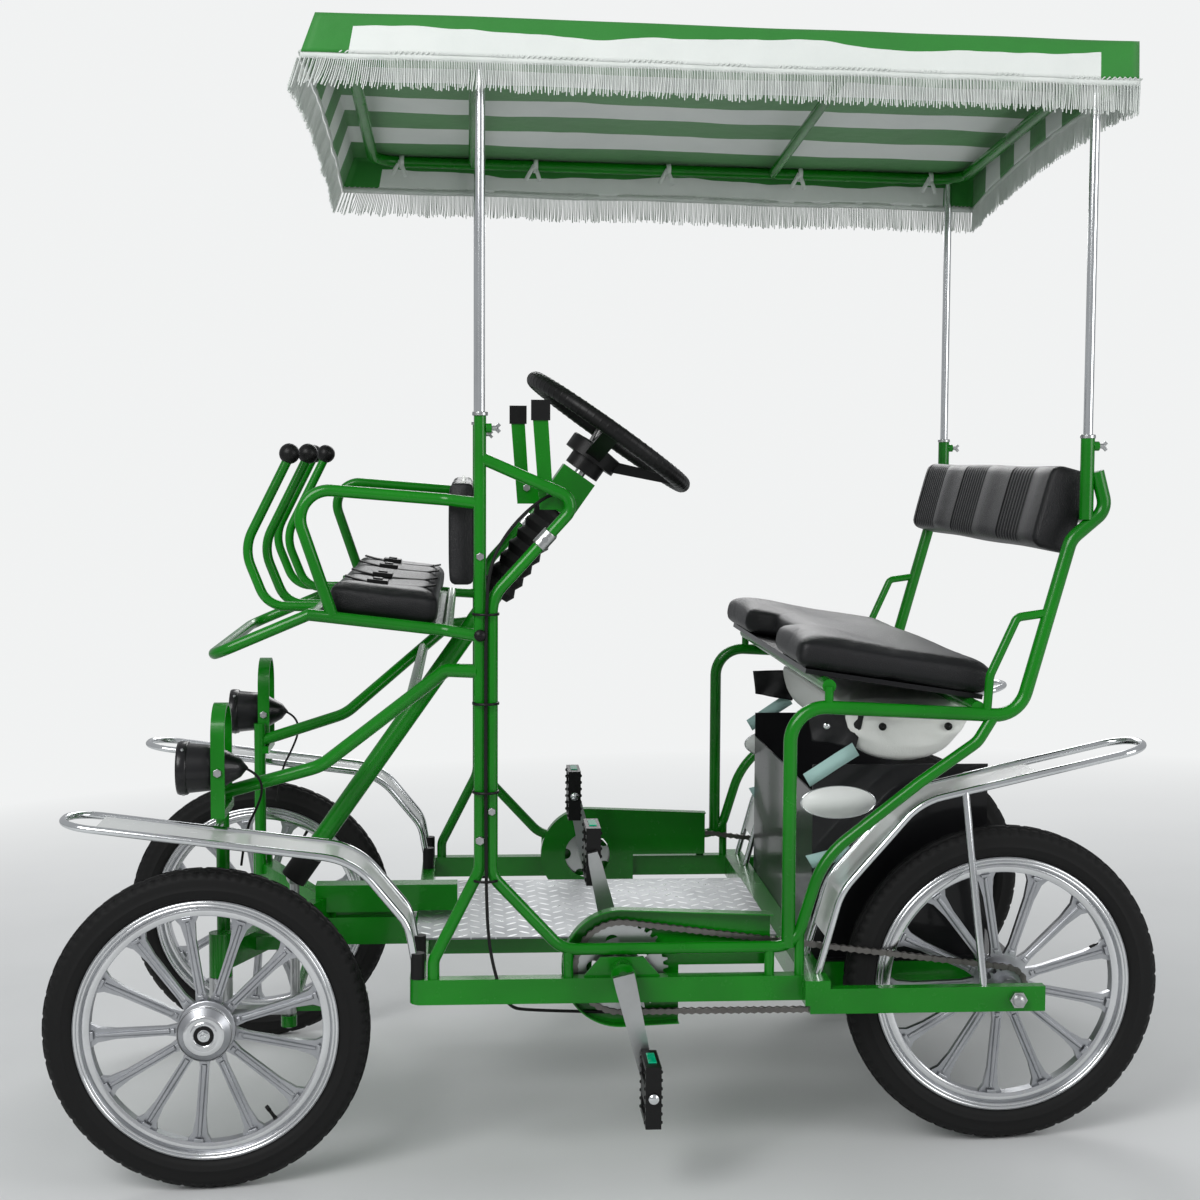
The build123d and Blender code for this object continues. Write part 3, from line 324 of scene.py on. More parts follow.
def piece(name, shape, finish, body, smooth=True, join=0.00001):
    # turns a bmesh into a finished object that rides on a body
    bmesh.ops.remove_doubles(shape, verts=shape.verts, dist=join)
    bmesh.ops.recalc_face_normals(shape, faces=shape.faces)
    mesh = bpy.data.meshes.new(name)
    shape.to_mesh(mesh)
    shape.free()
    made = linked(name, mesh)
    mesh.materials.append(finish.material)
    if smooth:
        mesh.shade_smooth()
    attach(made, body)
    return made


def rods(name, runs, radius, finish, body, smooth=False, sides=3):
    # one curve object of several round wires, each through its own points in metres
    data = bpy.data.curves.new(name, "CURVE")
    data.dimensions = "3D"
    data.bevel_depth = radius
    data.bevel_resolution = sides
    data.use_fill_caps = True
    for run in runs:
        spline = data.splines.new("NURBS" if smooth else "POLY")
        spline.points.add(len(run) - 1)
        for point, place in zip(spline.points, run):
            point.co = (*place, 1)
        if smooth:
            spline.order_u = 3
            spline.use_endpoint_u = True
    data.materials.append(finish.material)
    made = linked(name, data)
    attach(made, body)
    return made


def crisped(made, width=0.0006, segments=2):
    bevel = made.modifiers.new("edges", "BEVEL")
    bevel.width = width
    bevel.segments = segments
    bevel.limit_method = "ANGLE"
    return made


def facing(place, direction):
    # where a shape drawn along Z goes to point in a direction
    return Matrix.Translation(place) @ Vector(direction).to_track_quat("Z", "Y").to_matrix().to_4x4()


def addDisc(shape, where, radius, depth, sides=24, radiusTop=None):
    # a closed drum or cone, from the place upwards along its own Z
    bmesh.ops.create_cone(shape, cap_ends=True, segments=sides, radius1=radius,
                          radius2=radius if radiusTop is None else radiusTop, depth=depth,
                          matrix=where @ shifted(0, 0, depth / 2))


def addBlock(shape, where, size):
    bmesh.ops.create_cube(shape, size=1.0, matrix=where @ Matrix.Diagonal((*size, 1)))


def pointed(x, y, z, direction):
    # a frame in millimetres at a place of the chassis, its Z along a direction of the world
    return facing(at(x, y, z), direction) @ toMetres


def thickened(made, thickness, offset=0):
    solid = made.modifiers.new("thickness", "SOLIDIFY")
    solid.thickness = thickness
    solid.offset = offset
    return made


# Canopy: one striped cloth with a skirt all round, its braid, fringe and ties

canopyCloth = {
    "front": 1100.0, "rear": -165.0, "half": 500.0, "railZ": 1465.0, "rise": 25.0, "sideY": 470.0,
    "roll": 4.0, "pitch": 1.0, "railRadius": 11.3, "flare": 40.0, "skirt": 60.0, "skirtRows": 9,
    "cellsLong": 104, "cellsWide": 82, "bandHeight": 11.0, "fringe": 46.0, "strandGap": 2.6,
    "tieEvery": 268.0, "posts": (-108, 255, 852, 860),
}
middleX = (canopyCloth["front"] + canopyCloth["rear"]) / 2
slant = (shifted(middleX, 0, canopyCloth["railZ"])
         @ turned(math.radians(canopyCloth["roll"]), "X")
         @ turned(-math.radians(canopyCloth["pitch"]), "Y")
         @ shifted(-middleX, 0, -canopyCloth["railZ"]))
roofRadius = (canopyCloth["half"] ** 2 + canopyCloth["rise"] ** 2) / (2 * canopyCloth["rise"])
roofCentre = canopyCloth["railZ"] - math.sqrt((roofRadius - canopyCloth["railRadius"]) ** 2
                                              - canopyCloth["sideY"] ** 2)


def onCanopy(x, y, z):
    return chassis @ (slant @ Vector((x, y, z)))


def clothPlace(x, y, depth, proud=0.0):
    # a flat place on the roof, and how far down the skirt it hangs: the cloth's own soft waves are added
    wave = noise.noise(Vector((x / 210, y / 260, 1.7)))
    z = roofCentre + math.sqrt(roofRadius ** 2 - y ** 2) + 2 + 3.2 * wave - depth
    share = depth / 115
    onSide = abs(y) > canopyCloth["half"] - 1
    fold = noise.noise(Vector((x / 62, y / 62, 5.0 + depth / 300))) * 9 * share
    nearFront = max(0.0, 1 - (canopyCloth["front"] - x) / 110)
    x += canopyCloth["flare"] * share * nearFront
    if depth > 0:
        if onSide:
            y += math.copysign(fold - 3 * share + proud, y)
        if x > canopyCloth["front"] - 1:
            x += fold * 0.6 + proud
        if x < canopyCloth["rear"] + 1:
            x -= fold * 0.6 + proud
    return onCanopy(x, y, z)


def skirtWalk(gap):
    # flat places round the roof's edge, a gap apart
    front, rear, half = canopyCloth["front"], canopyCloth["rear"], canopyCloth["half"]
    corners = [(rear, half), (front, half), (front, -half), (rear, -half), (rear, half)]
    walk = []
    for (x, y), (nextX, nextY) in zip(corners, corners[1:]):
        steps = round(math.hypot(nextX - x, nextY - y) / gap)
        walk += [(x + (nextX - x) * i / steps, y + (nextY - y) * i / steps) for i in range(steps)]
    return walk


def stripedCloth():
    # woven cloth: green stripes along the roof, green edge strips and corners on the side skirts
    finish = Finish("stripedCloth", Sheen_Weight=0.25, Sheen_Roughness=0.6)
    flat = finish.add("ShaderNodeUVMap", {"uv_map": "cut"})
    u, v, w = finish.axes(flat)
    wander = finish.noise(flat, 7.0, 2.0) - 0.5
    line = v + wander * 0.02
    stripes = ((line + 0.09) / 0.2).share() < 0.5
    reach = v.size()
    onSide = reach > 0.5
    nearEdge = reach > 0.47
    edge = 0.523 + (u * 11.0).wave() * 0.004 + wander * 0.02
    strip = reach < edge
    corner = (u > 1.04) + (u < -0.105)
    sideGreen = strip.math("MAXIMUM", strip, corner) * onSide
    roofGreen = stripes.math("MAXIMUM", stripes, nearEdge) * (1.0 - onSide)
    green = sideGreen.math("MAXIMUM", sideGreen, roofGreen)
    warp = (u * 5200.0).wave()
    weft = (v * 5200.0).wave()
    soil = finish.spread(finish.noise(flat, 4.0, 5.0, 0.6), 0.35, 0.75, 0.0, 1.0)
    white = finish.mix(soil, colours["cloth"], (0.66, 0.7, 0.67))
    dyed = finish.mix(soil, colours["clothGreen"], (0.002, 0.16, 0.005))
    crumple = finish.noise(flat, 22.0, 4.0, 0.55)
    under = finish.relief(crumple, 0.3, 0.006)
    finish.set(Base_Color=finish.mix(green, white, dyed), Roughness=0.72 - green * 0.1,
               Normal=finish.relief(warp * weft, 0.12, 0.0003, under))
    return finish


def makeCanopyCloth():
    shape = bmesh.new()
    front, rear, half = canopyCloth["front"], canopyCloth["rear"], canopyCloth["half"]
    bmesh.ops.create_grid(shape, x_segments=canopyCloth["cellsLong"], y_segments=canopyCloth["cellsWide"],
                          size=0.5)
    bmesh.ops.transform(shape, verts=shape.verts, matrix=shifted(middleX, 0, 0)
                        @ Matrix.Diagonal((front - rear, 2 * half, 1, 1)))
    rim = [edge for edge in shape.edges if edge.is_boundary]
    step = canopyCloth["skirt"] / canopyCloth["skirtRows"]
    for row in range(canopyCloth["skirtRows"]):
        grown = bmesh.ops.extrude_edge_only(shape, edges=rim)["geom"]
        rim = [part for part in grown if isinstance(part, bmesh.types.BMEdge)]
        bmesh.ops.translate(shape, verts=cornersOf(grown), vec=(0, 0, -step))
        rim = [edge for edge in rim if edge.is_boundary]
    bmesh.ops.recalc_face_normals(shape, faces=shape.faces)
    cut = shape.loops.layers.uv.new("cut")
    for face in shape.faces:
        sideFace = all(abs(abs(corner.co.y) - half) < 0.01 for corner in face.verts)
        endFace = all(corner.co.x > front - 0.01 or corner.co.x < rear + 0.01 for corner in face.verts)
        for loop in face.loops:
            x, y, z = loop.vert.co
            if sideFace:
                y += math.copysign(-z, y)
            elif endFace:
                x += -z if x > middleX else z
            loop[cut].uv = (x / 1000, y / 1000)
    for corner in shape.verts:
        corner.co = clothPlace(corner.co.x, corner.co.y, -corner.co.z)
    return thickened(piece("canopyCloth", shape, stripedCloth(), "chassis", join=0.0), 0.0012)


def braidFinish():
    # white cotton thread, a little greyer in soft patches
    finish = Finish("cottonThread", Sheen_Weight=0.3, Sheen_Roughness=0.5)
    point = finish.place()
    x, y, z = finish.axes(point)
    twill = ((x + y) * 2400.0 + z * 3400.0).wave()
    soil = finish.noise(point, 18.0, 4.0, 0.6)
    dusty = finish.spread(soil, 0.3, 0.8, 0.0, 1.0)
    finish.set(Base_Color=finish.mix(dusty, (0.76, 0.79, 0.76), (0.6, 0.65, 0.61)),
               Roughness=0.8, Normal=finish.relief(twill, 0.35, 0.0006))
    return finish


def makeFringe(thread):
    random.seed(11)
    top = canopyCloth["skirt"] - 2
    low = top + canopyCloth["bandHeight"]
    walk = skirtWalk(9.0)
    shape = bmesh.new()
    loop = [shape.verts.new(clothPlace(x, y, top, 1.6)) for x, y in walk]
    edges = [shape.edges.new((loop[i - 1], loop[i])) for i in range(len(loop))]
    lower = bmesh.ops.extrude_edge_only(shape, edges=edges)["geom"]
    for corner in cornersOf(lower):
        corner.co -= upward * canopyCloth["bandHeight"] / 1000
    band = thickened(piece("canopyBraid", shape, thread, "chassis"), 0.0022)

    twist = []
    for i, (x, y) in enumerate(skirtWalk(1.6)):
        turn = i * math.tau / 5
        twist.append(clothPlace(x, y, top + 1.6 * math.sin(turn), 3.2 + 1.4 * math.cos(turn)))
    cord = rods("canopyRope", [twist + twist[:1]], 0.0011, thread, "chassis", sides=0)

    strands = []
    for i, (x, y) in enumerate(skirtWalk(canopyCloth["strandGap"])):
        long = canopyCloth["fringe"] * (0.82 + 0.2 * random.random())
        sway = 3.4 * noise.noise(Vector((x / 40, y / 40, 9.0))) + random.uniform(-1.6, 1.6)
        puff = 1.0 + (i % 2) * 2.2
        along = (1, 0) if abs(y) > canopyCloth["half"] - 1 else (0, 1)
        run = []
        for share in (0.0, 0.35, 0.7, 1.0):
            slip = sway * share * share
            spotX = min(max(x + along[0] * slip, canopyCloth["rear"]), canopyCloth["front"])
            spotY = min(max(y + along[1] * slip, -canopyCloth["half"]), canopyCloth["half"])
            run.append(clothPlace(spotX, spotY, low - 1 + long * share, puff * (1 - 0.5 * share)))
        strands.append(run)
    threads = rods("canopyFringe", strands, 0.00095, thread, "chassis", sides=0)

    ties = bmesh.new()
    tieTurn = (chassis @ slant).to_3x3().normalized().to_4x4()
    x = canopyCloth["rear"] + 96
    while x < canopyCloth["front"] - 60:
        for y in (-canopyCloth["sideY"], canopyCloth["sideY"]):
            if min(abs(x - post) for post in canopyCloth["posts"]) < 22:
                continue
            where = Matrix.Translation(onCanopy(x, y, canopyCloth["railZ"])) @ tieTurn
            bmesh.ops.create_cone(ties, cap_ends=False, segments=20, radius1=0.0126, radius2=0.0126,
                                  depth=0.009, matrix=where @ turned(math.pi / 2, "Y"))
            for lean in (-0.5, 0.35):
                tail = where @ shifted(0.003, -math.copysign(0.0132, y), 0) @ turned(lean, "Y")
                strip = bmesh.ops.create_grid(ties, x_segments=2, y_segments=5, size=0.5)["verts"]
                for corner in strip:
                    along, down = corner.co.x * 0.008, (corner.co.y - 0.5) * 0.034
                    corner.co = tail @ Vector((along, 0.002 * math.sin(down * 260), down))
        x += canopyCloth["tieEvery"]
    knots = thickened(piece("canopyTies", ties, thread, "chassis"), 0.0012, 1)
    return [band, cord, threads, knots]


canopy = makeCanopyCloth()
cottonThread = braidFinish()
canopyTrim = makeFringe(cottonThread)
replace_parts(canopy, "canopy_roof", "canopy_valance")
print("canopy cloth, braid, fringe and ties made")


# Upholstery

upholstery = {"voxel": 0.0055, "pressure": 4.0, "frames": 20, "cap": 0.007}


def rounded(point, half, radius):
    # moves a point of a box's surface onto the same box with round edges
    inner = [min(max(point[i], radius - half[i]), half[i] - radius) for i in range(3)]
    away = Vector([point[i] - inner[i] for i in range(3)])
    return Vector(inner) + away.normalized() * radius if away.length > 0 else Vector(point)


def softBox(size, radius, form, cuts=22):
    # a box cut into a fine grid, its edges rounded, then formed in its own frame, in millimetres
    shape = bmesh.new()
    bmesh.ops.create_cube(shape, size=1.0)
    bmesh.ops.subdivide_edges(shape, edges=shape.edges, cuts=cuts, use_grid_fill=True)
    half = [value / 2 for value in size]
    for corner in shape.verts:
        corner.co = form(rounded([corner.co[i] * size[i] for i in range(3)], half, radius))
    return shape


def stuffed(name, shape, where, finish, floor=None, cap=None):
    # a padded piece: remeshed, blown up as cloth, its moves capped, and kept flat where it rests
    mesh = bpy.data.meshes.new(name)
    shape.to_mesh(mesh)
    shape.free()
    mesh.transform(toMetres)
    work = linked(name, mesh)
    voxels = work.modifiers.new("voxels", "REMESH")
    voxels.mode = "VOXEL"
    voxels.voxel_size = upholstery["voxel"]
    bpy.context.view_layer.update()
    mesh = bpy.data.meshes.new_from_object(work.evaluated_get(bpy.context.evaluated_depsgraph_get()))
    work.modifiers.clear()
    work.data = mesh
    before = [corner.co.copy() for corner in mesh.vertices]
    cloth = work.modifiers.new("cloth", "CLOTH")
    cloth.settings.use_pressure = True
    cloth.settings.uniform_pressure_force = upholstery["pressure"]
    cloth.settings.quality = 5
    cloth.settings.effector_weights.gravity = 0
    cloth.point_cache.frame_start = 1
    cloth.point_cache.frame_end = upholstery["frames"]
    for step in range(1, upholstery["frames"] + 1):
        bpy.context.scene.frame_set(step)
    mesh = bpy.data.meshes.new_from_object(work.evaluated_get(bpy.context.evaluated_depsgraph_get()))
    work.modifiers.clear()
    bpy.context.scene.frame_set(1)
    reach = cap or upholstery["cap"]
    for corner, start in zip(mesh.vertices, before):
        move = corner.co - start
        corner.co = start + move * min(1.0, reach / max(move.length, 1e-9))
        if floor is not None:
            corner.co.z = max(corner.co.z, floor / 1000)
    bpy.data.objects.remove(work)
    smooth = bmesh.new()
    smooth.from_mesh(mesh)
    for turn in range(2):
        bmesh.ops.smooth_vert(smooth, verts=smooth.verts, factor=0.5, use_axis_x=True, use_axis_y=True,
                              use_axis_z=True)
    bmesh.ops.scale(smooth, verts=smooth.verts, vec=(1000, 1000, 1000))
    bmesh.ops.transform(smooth, verts=smooth.verts, matrix=chassis @ where)
    made = piece(name, smooth, finish, "chassis")
    return made


def leanedAt(x, z, degrees):
    # a frame at a place of the chassis, its front tipped up by an angle, in millimetres
    return shifted(x, 0, z) @ turned(-math.radians(degrees), "Y")


benchPad = {
    "rearTube": (60.0, 459.0), "slope": 8.5, "rear": -36.0, "front": 300.0, "half": 452.0, "low": 19.6,
    "thickness": 50.0, "recess": 52.0, "recessFrom": 140.0, "recessTo": 186.0, "lobe": 8.0, "dip": 6.0,
}


def benchForm(point):
    x, y, z = point
    reach = abs(y)
    share = min(max((reach - benchPad["recessFrom"]) / (benchPad["recessTo"] - benchPad["recessFrom"]), 0), 1)
    edge = benchPad["front"] - benchPad["recess"] * (1 - share * share * (3 - 2 * share))
    long = benchPad["front"] - benchPad["rear"]
    along = (x + long / 2) / long
    x = benchPad["rear"] + 3 + along * (edge - benchPad["rear"] - 6)
    y *= (benchPad["half"] - 4) / benchPad["half"]
    top = max(0.0, z / (benchPad["thickness"] / 2))
    lobe = math.exp(-((reach - 305) / 120) ** 2 - ((x - 236) / 66) ** 2) * benchPad["lobe"]
    dip = math.exp(-((reach - 225) / 130) ** 2 - ((x - 95) / 85) ** 2) * benchPad["dip"]
    rise = benchPad["low"] + 3 + (z + benchPad["thickness"] / 2) * (1 - 6 / benchPad["thickness"])
    return Vector((x, y, rise + top * (lobe - dip)))


def makeBenchPad():
    shape = softBox((benchPad["front"] - benchPad["rear"], 2 * benchPad["half"], benchPad["thickness"]), 17,
                    benchForm, 40)
    where = leanedAt(*benchPad["rearTube"], benchPad["slope"])
    pad = stuffed("benchPad", shape, where, blackVinyl, benchPad["low"])
    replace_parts(pad, "bench_cushion")


backPad = {
    "centre": (-82.0, 774.0), "lean": 15.0, "thick": 62.0, "high": 134.0, "half": 440.0, "corner": 15.0,
    "columns": 560, "around": 60, "ribs": ((-412, -253), (-122, 44), (196, 335)), "ribPitch": 16.5,
    "ribDepth": 4.0, "bands": ((-216, 34), (93, 44), (392, 44)), "bandRise": 5.0,
}


def ribbedPad(name, pad, where, finish):
    # an upholstered bar: an outline wrapped along its length, with sewn ribs on its front
    shape = bmesh.new()
    bmesh.ops.create_grid(shape, x_segments=pad["columns"], y_segments=pad["around"], size=0.5)
    thick, high = pad["thick"] / 2, pad["high"] / 2
    ring = 4 * (thick + high)
    for corner in shape.verts:
        y = corner.co.x * 2 * pad["half"]
        walk = (corner.co.y + 0.5) * ring
        if walk < 2 * high:
            px, pz = thick, walk - high
        elif walk < 2 * high + 2 * thick:
            px, pz = thick - (walk - 2 * high), high
        elif walk < 4 * high + 2 * thick:
            px, pz = -thick, high - (walk - 2 * high - 2 * thick)
        else:
            px, pz = -thick + (walk - 4 * high - 2 * thick), -high
        px, py, pz = rounded((px, y, pz), (thick, pad["half"], high), pad["corner"])
        front = min(max((px - thick + 8) / 8, 0), 1)
        upright = max(0.0, 1 - (pz / high) ** 4)
        push = 0.0
        for low, top in pad["ribs"]:
            if low < y < top:
                turn = (y - low) / (top - low) * round((top - low) / pad["ribPitch"])
                push -= pad["ribDepth"] * (1 - abs(math.sin(math.pi * turn)) ** 0.6) + 1.0
        for middle, width in pad["bands"]:
            push += pad["bandRise"] * math.exp(-((y - middle) / width) ** 2)
        swell = 2.5 * upright
        corner.co = Vector((px + (push + swell) * front, py, pz * (1 + 0.012 * math.cos(y / 70))))
    bmesh.ops.remove_doubles(shape, verts=shape.verts, dist=0.05)
    bmesh.ops.holes_fill(shape, edges=[edge for edge in shape.edges if edge.is_boundary], sides=0)
    bmesh.ops.transform(shape, verts=shape.verts, matrix=chassis @ where)
    made = piece(name, shape, finish, "chassis")
    return made


childSeat = {
    "padCentre": (1008.0, 593.0), "slope": 6.58, "padSize": (184.0, 824.0, 50.0), "padLow": 2.3,
    "backX": 861.8, "backThick": 37.0, "backLow": 652.0, "backHigh": 812.0, "half": 412.0,
}


def childForm(point):
    x, y, z = point
    top = max(0.0, z / 25)
    dent = 5 * math.exp(-((abs(y) - 200) / 120) ** 2 - (x / 60) ** 2)
    return Vector((x * 0.97, y * 0.99, (z + 25) * 0.93 + childSeat["padLow"] + 1 - top * dent))


def makeChildSeat():
    shape = softBox(childSeat["padSize"], 13, childForm, 34)
    where = leanedAt(*childSeat["padCentre"], childSeat["slope"])
    pad = stuffed("childPad", shape, where, blackVinyl, childSeat["padLow"], 0.006)
    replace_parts(pad, "child_seat_cushion")
    back = dict(backPad, thick=childSeat["backThick"], high=childSeat["backHigh"] - childSeat["backLow"],
                half=childSeat["half"], corner=9.0, ribs=((-330, -90), (90, 330)), ribPitch=24.0,
                ribDepth=2.2, bands=(), columns=420, around=56)
    middle = (childSeat["backX"] + childSeat["backThick"] / 2 + 0.3,
              (childSeat["backLow"] + childSeat["backHigh"]) / 2)
    board = ribbedPad("childBack", back, leanedAt(*middle, 0), blackVinyl)
    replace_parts(board, "child_backrest")
    # a pale rod along the top of the backrest: painted highlight where light catches the black vinyl's top
    # face
    x, z = middle
    highlightRod = [at(x - 2, y, childSeat["backHigh"] + 1.5) for y in (-400, -150, 150, 400)]
    rods("childBackHighlight", [highlightRod], 0.0032, whiteVinyl, "chassis", sides=4)


makeBenchPad()
backrest = ribbedPad("backrestPad", backPad, leanedAt(*backPad["centre"], backPad["lean"]), blackVinyl)
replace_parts(backrest, "backrest_cushion")
makeChildSeat()
print("cushions and backrests made")


def strap(name, runs, width, thick, finish, across=(0, 1, 0)):
    # flat webbing along one or more runs of places, its width along the given direction
    shape = bmesh.new()
    side = Vector(across).normalized() * width / 2
    for run in runs:
        ends = [(shape.verts.new(place - side), shape.verts.new(place + side)) for place in map(Vector, run)]
        edges = [shape.edges.new(pair) for pair in ends]
        for first, second in zip(edges, edges[1:]):
            bmesh.ops.bridge_loops(shape, edges=[first, second])
    return thickened(piece(name, shape, finish, "chassis"), thick)


bag = {
    "rear": 22.0, "front": 252.0, "half": 330.0, "top": 447.0, "low": 354.0, "cuts": 40,
    "studs": ((183.0, 410.0), (72.0, 410.0)), "flapStud": (276.0, 411.0),
    "stud": [(6.4, 0.0), (6.4, 5.4), (5.2, 7.4), (2.0, 8.4), (0.3, 8.5)],
    "flap": ((212.0, 434.0), (306.0, 432.0), (300.0, 386.0), (226.0, 372.0)),
}


def bagForm(point):
    # narrows and sags towards its bottom, with drawn folds under its top edge
    x, y, z = point
    long, high = (bag["front"] - bag["rear"]) / 2, (bag["top"] - bag["low"]) / 2
    down = (high - z) / (2 * high)
    belly = math.sqrt(max(0.0, 1 - (x / long * 0.86) ** 2))
    x = x * (1 - 0.3 * down ** 1.6) + 9 * down
    y = y * (1 - 0.035 * down) + math.copysign(5 * math.sin(math.pi * down), y)
    drawn = math.sin(x / 16 + 5 * down) * 3.6 + math.sin(11 * down + x / 62) * 7.5
    folds = drawn * math.sin(math.pi * min(1, down * 1.25))
    side = math.copysign(folds, y) if abs(y) > bag["half"] - 16 else 0
    z = high - down * 2 * high * (0.42 + 0.58 * belly)
    return Vector((x, y + side, z))


def makeBag():
    size = (bag["front"] - bag["rear"], 2 * bag["half"] - 16, bag["top"] - bag["low"])
    shape = softBox(size, 9, bagForm, bag["cuts"])
    where = shifted((bag["front"] + bag["rear"]) / 2, 0, (bag["top"] + bag["low"]) / 2)
    made = stuffed("stowageBag", shape, where, whiteVinyl, None, 0.006)
    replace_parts(made, "stowage_bag")


makeBag()
print("stowage bag made")


# Wheels: tyres with their tread, and the castings' ribs, lips and hub trim

wheels = {
    "x": 644.0, "y": 413.0, "radius": 260.0, "spokes": 13, "lugs": 92, "lugSteps": 4, "groove": 3.4,
    # half of the tyre's section: (distance from the axle, distance from the middle), then the crown's arc
    "sidewall": [(209.0, 12.0), (211.5, 16.5), (215.0, 20.6), (220.0, 22.4), (226.6, 23.0), (227.6, 23.6),
                 (228.6, 23.0), (236.0, 22.9), (243.0, 22.6), (246.5, 22.4)],
    "crownCentre": 234.1, "crownRadius": 25.9,
    # places over the crown: (distance from the middle, depth of the groove there)
    "crown": ((20.8, 0.0), (18.6, 0.0), (15.8, 0.0), (12.8, 0.0), (11.6, 2.4), (9.8, 2.4), (9.0, 0.1),
              (6.0, 0.0), (3.0, 0.0), (2.2, 2.0)),
    # bosses on each spoke: (distance from the axle, height of the middle, size)
    "bosses": ((53, 7.4, (6, 8, 5)), (180.6, 10.6, (5, 15, 5))),
    "rib": {"from": 58, "height": 5, "long": 118, "wide": 6.4, "wideEnd": 4.6, "high": 3.4},
    "flange": [(46.4, 6.8), (45.6, 8.4), (38, 10.4), (34.2, 15), (34.1, 30)],
    "lips": ([(209.4, 16.6), (209.0, 18.0), (206.6, 18.4), (205.4, 17.4), (204.8, 16.9)],
             [(203.6, 16.9), (203.0, 17.8), (201.0, 17.9), (199.8, 17.0), (199.6, 16.0)],
             [(197.6, 11.0), (196.6, 12.0), (190.0, 11.7), (186.4, 10.6), (184.4, 9.8)]),
    # the front hub's face, its heights from the end of the cap
    "capEnd": 44.0,
    "hubFace": ([(32.4, -0.4), (31.6, 0.8), (24.0, 0.9), (22.6, 0.3), (21.4, 1.9), (17.6, 2.3), (15.8, 1.2),
                 (15.4, -0.2)],
                [(44.3, -10.2), (44.5, -8.8), (43.2, -8.0)]),
    # the hole round the nut is not cut: a flat black disc at its mouth is painted shade
    "hubHoleShade": [(15.6, 0.2), (9.0, 0.3), (0.4, 0.3)],
    # nut and valve in steps: (start, radius, height, sides, radius at the top)
    "nut": ((0.2, 10.2, 1.2, 32, 9.6), (1.2, 8.4, 5.2, 6, 8.4), (6.2, 5.0, 1.8, 24, 3.8)),
    "valveFoot": 186, "valveTurn": 2.146, "rearValveTurn": 3.446,
    "valve": ((0, 4.6, 5, 16, 3.2), (5, 3.0, 14, 16, 2.7), (18, 3.6, 9, 16, 3.2)),
}
polishedLip = brightMetal("polishedLip", (0.8, 0.81, 0.82), 0.09, 260.0)
# painted shade: the black of the flat disc that fills the front hub's hole
paintedHoleShade = moulded("paintedHoleShade", (0.006, 0.006, 0.006), 0.6)


def lathed(shape, where, section, steps):
    # turns a section of (radius, height) places once round the frame's own Z
    first = [shape.verts.new(where @ Vector((radius, 0, height))) for radius, height in section]
    edges = [shape.edges.new(pair) for pair in zip(first, first[1:])]
    axis = (where.to_3x3() @ Vector((0, 0, 1))).normalized()
    bmesh.ops.spin(shape, geom=first + edges, cent=where.translation, axis=axis, angle=math.tau, steps=steps,
                   use_merge=True)


def stepped(shape, where, steps):
    # drums and cones on one another: (start, radius, height, sides, radius at the top)
    for start, radius, high, sides, top in steps:
        addDisc(shape, where @ shifted(0, 0, start), radius, high, sides, top)


def wheelFrame(end, hand):
    # a wheel's own frame in millimetres: X forward, Z outboard
    outboard = Matrix(((1, 0, 0), (0, 0, hand), (0, -hand, 0))).to_4x4()
    return (shifted(end * wheels["x"] / 1000, hand * wheels["y"] / 1000, wheels["radius"] / 1000)
            @ outboard @ toMetres)


def turnedBy(where, angle, radius, height):
    # a frame out along one spoke: its X points away from the axle
    return where @ turned(angle, "Z") @ shifted(radius, 0, height)


def makeTyre(name, where, body):
    half = wheels["sidewall"] + [
        (wheels["crownCentre"] + math.sqrt(wheels["crownRadius"] ** 2 - reach ** 2) - drop, reach)
        for reach, drop in wheels["crown"]]
    shape = bmesh.new()
    steps = wheels["lugs"] * wheels["lugSteps"]
    lathed(shape, Matrix.Identity(4), half + [(radius, -reach) for radius, reach in reversed(half)], steps)
    # cross grooves: deep ones between the shoulder's lugs, shallow ones in the two ribs of the crown
    for corner in shape.verts:
        radius = math.hypot(corner.co.x, corner.co.y)
        index = round(math.atan2(corner.co.y, corner.co.x) / math.tau * steps)
        shift = 0 if corner.co.z > 0 else wheels["lugSteps"] // 2
        shoulder = 11.9 < abs(corner.co.z) < 22.0 and radius > 246.8
        rib = 2.6 < abs(corner.co.z) < 9.4 and radius > 257
        if (index + shift) % wheels["lugSteps"] == 0 and shoulder or rib and (index + 3 * shift) % 8 == 0:
            corner.co *= (radius - wheels["groove"] * (1.0 if shoulder else 0.6)) / radius
    bmesh.ops.transform(shape, verts=shape.verts, matrix=where)
    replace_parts(piece(f"tyreTread_{name}", shape, tyreRubber, body), f"tyre_{name}")


def addRib(shape, where, long, wide, wideEnd, high):
    # a low ridge along the frame's X, narrower at its far end, with sloped sides
    low = [(0, -wide / 2), (long, -wideEnd / 2), (long, wideEnd / 2), (0, wide / 2)]
    foot = [shape.verts.new(where @ Vector((x, y * 1.7, -0.5))) for x, y in low]
    grown = bmesh.ops.extrude_face_region(shape, geom=[shape.faces.new(foot)])["geom"]
    for corner in cornersOf(grown):
        x, y = min(zip(low, foot), key=lambda pair: (corner.co - pair[1].co).length)[0]
        corner.co = where @ Vector((x, y * 0.8, high))


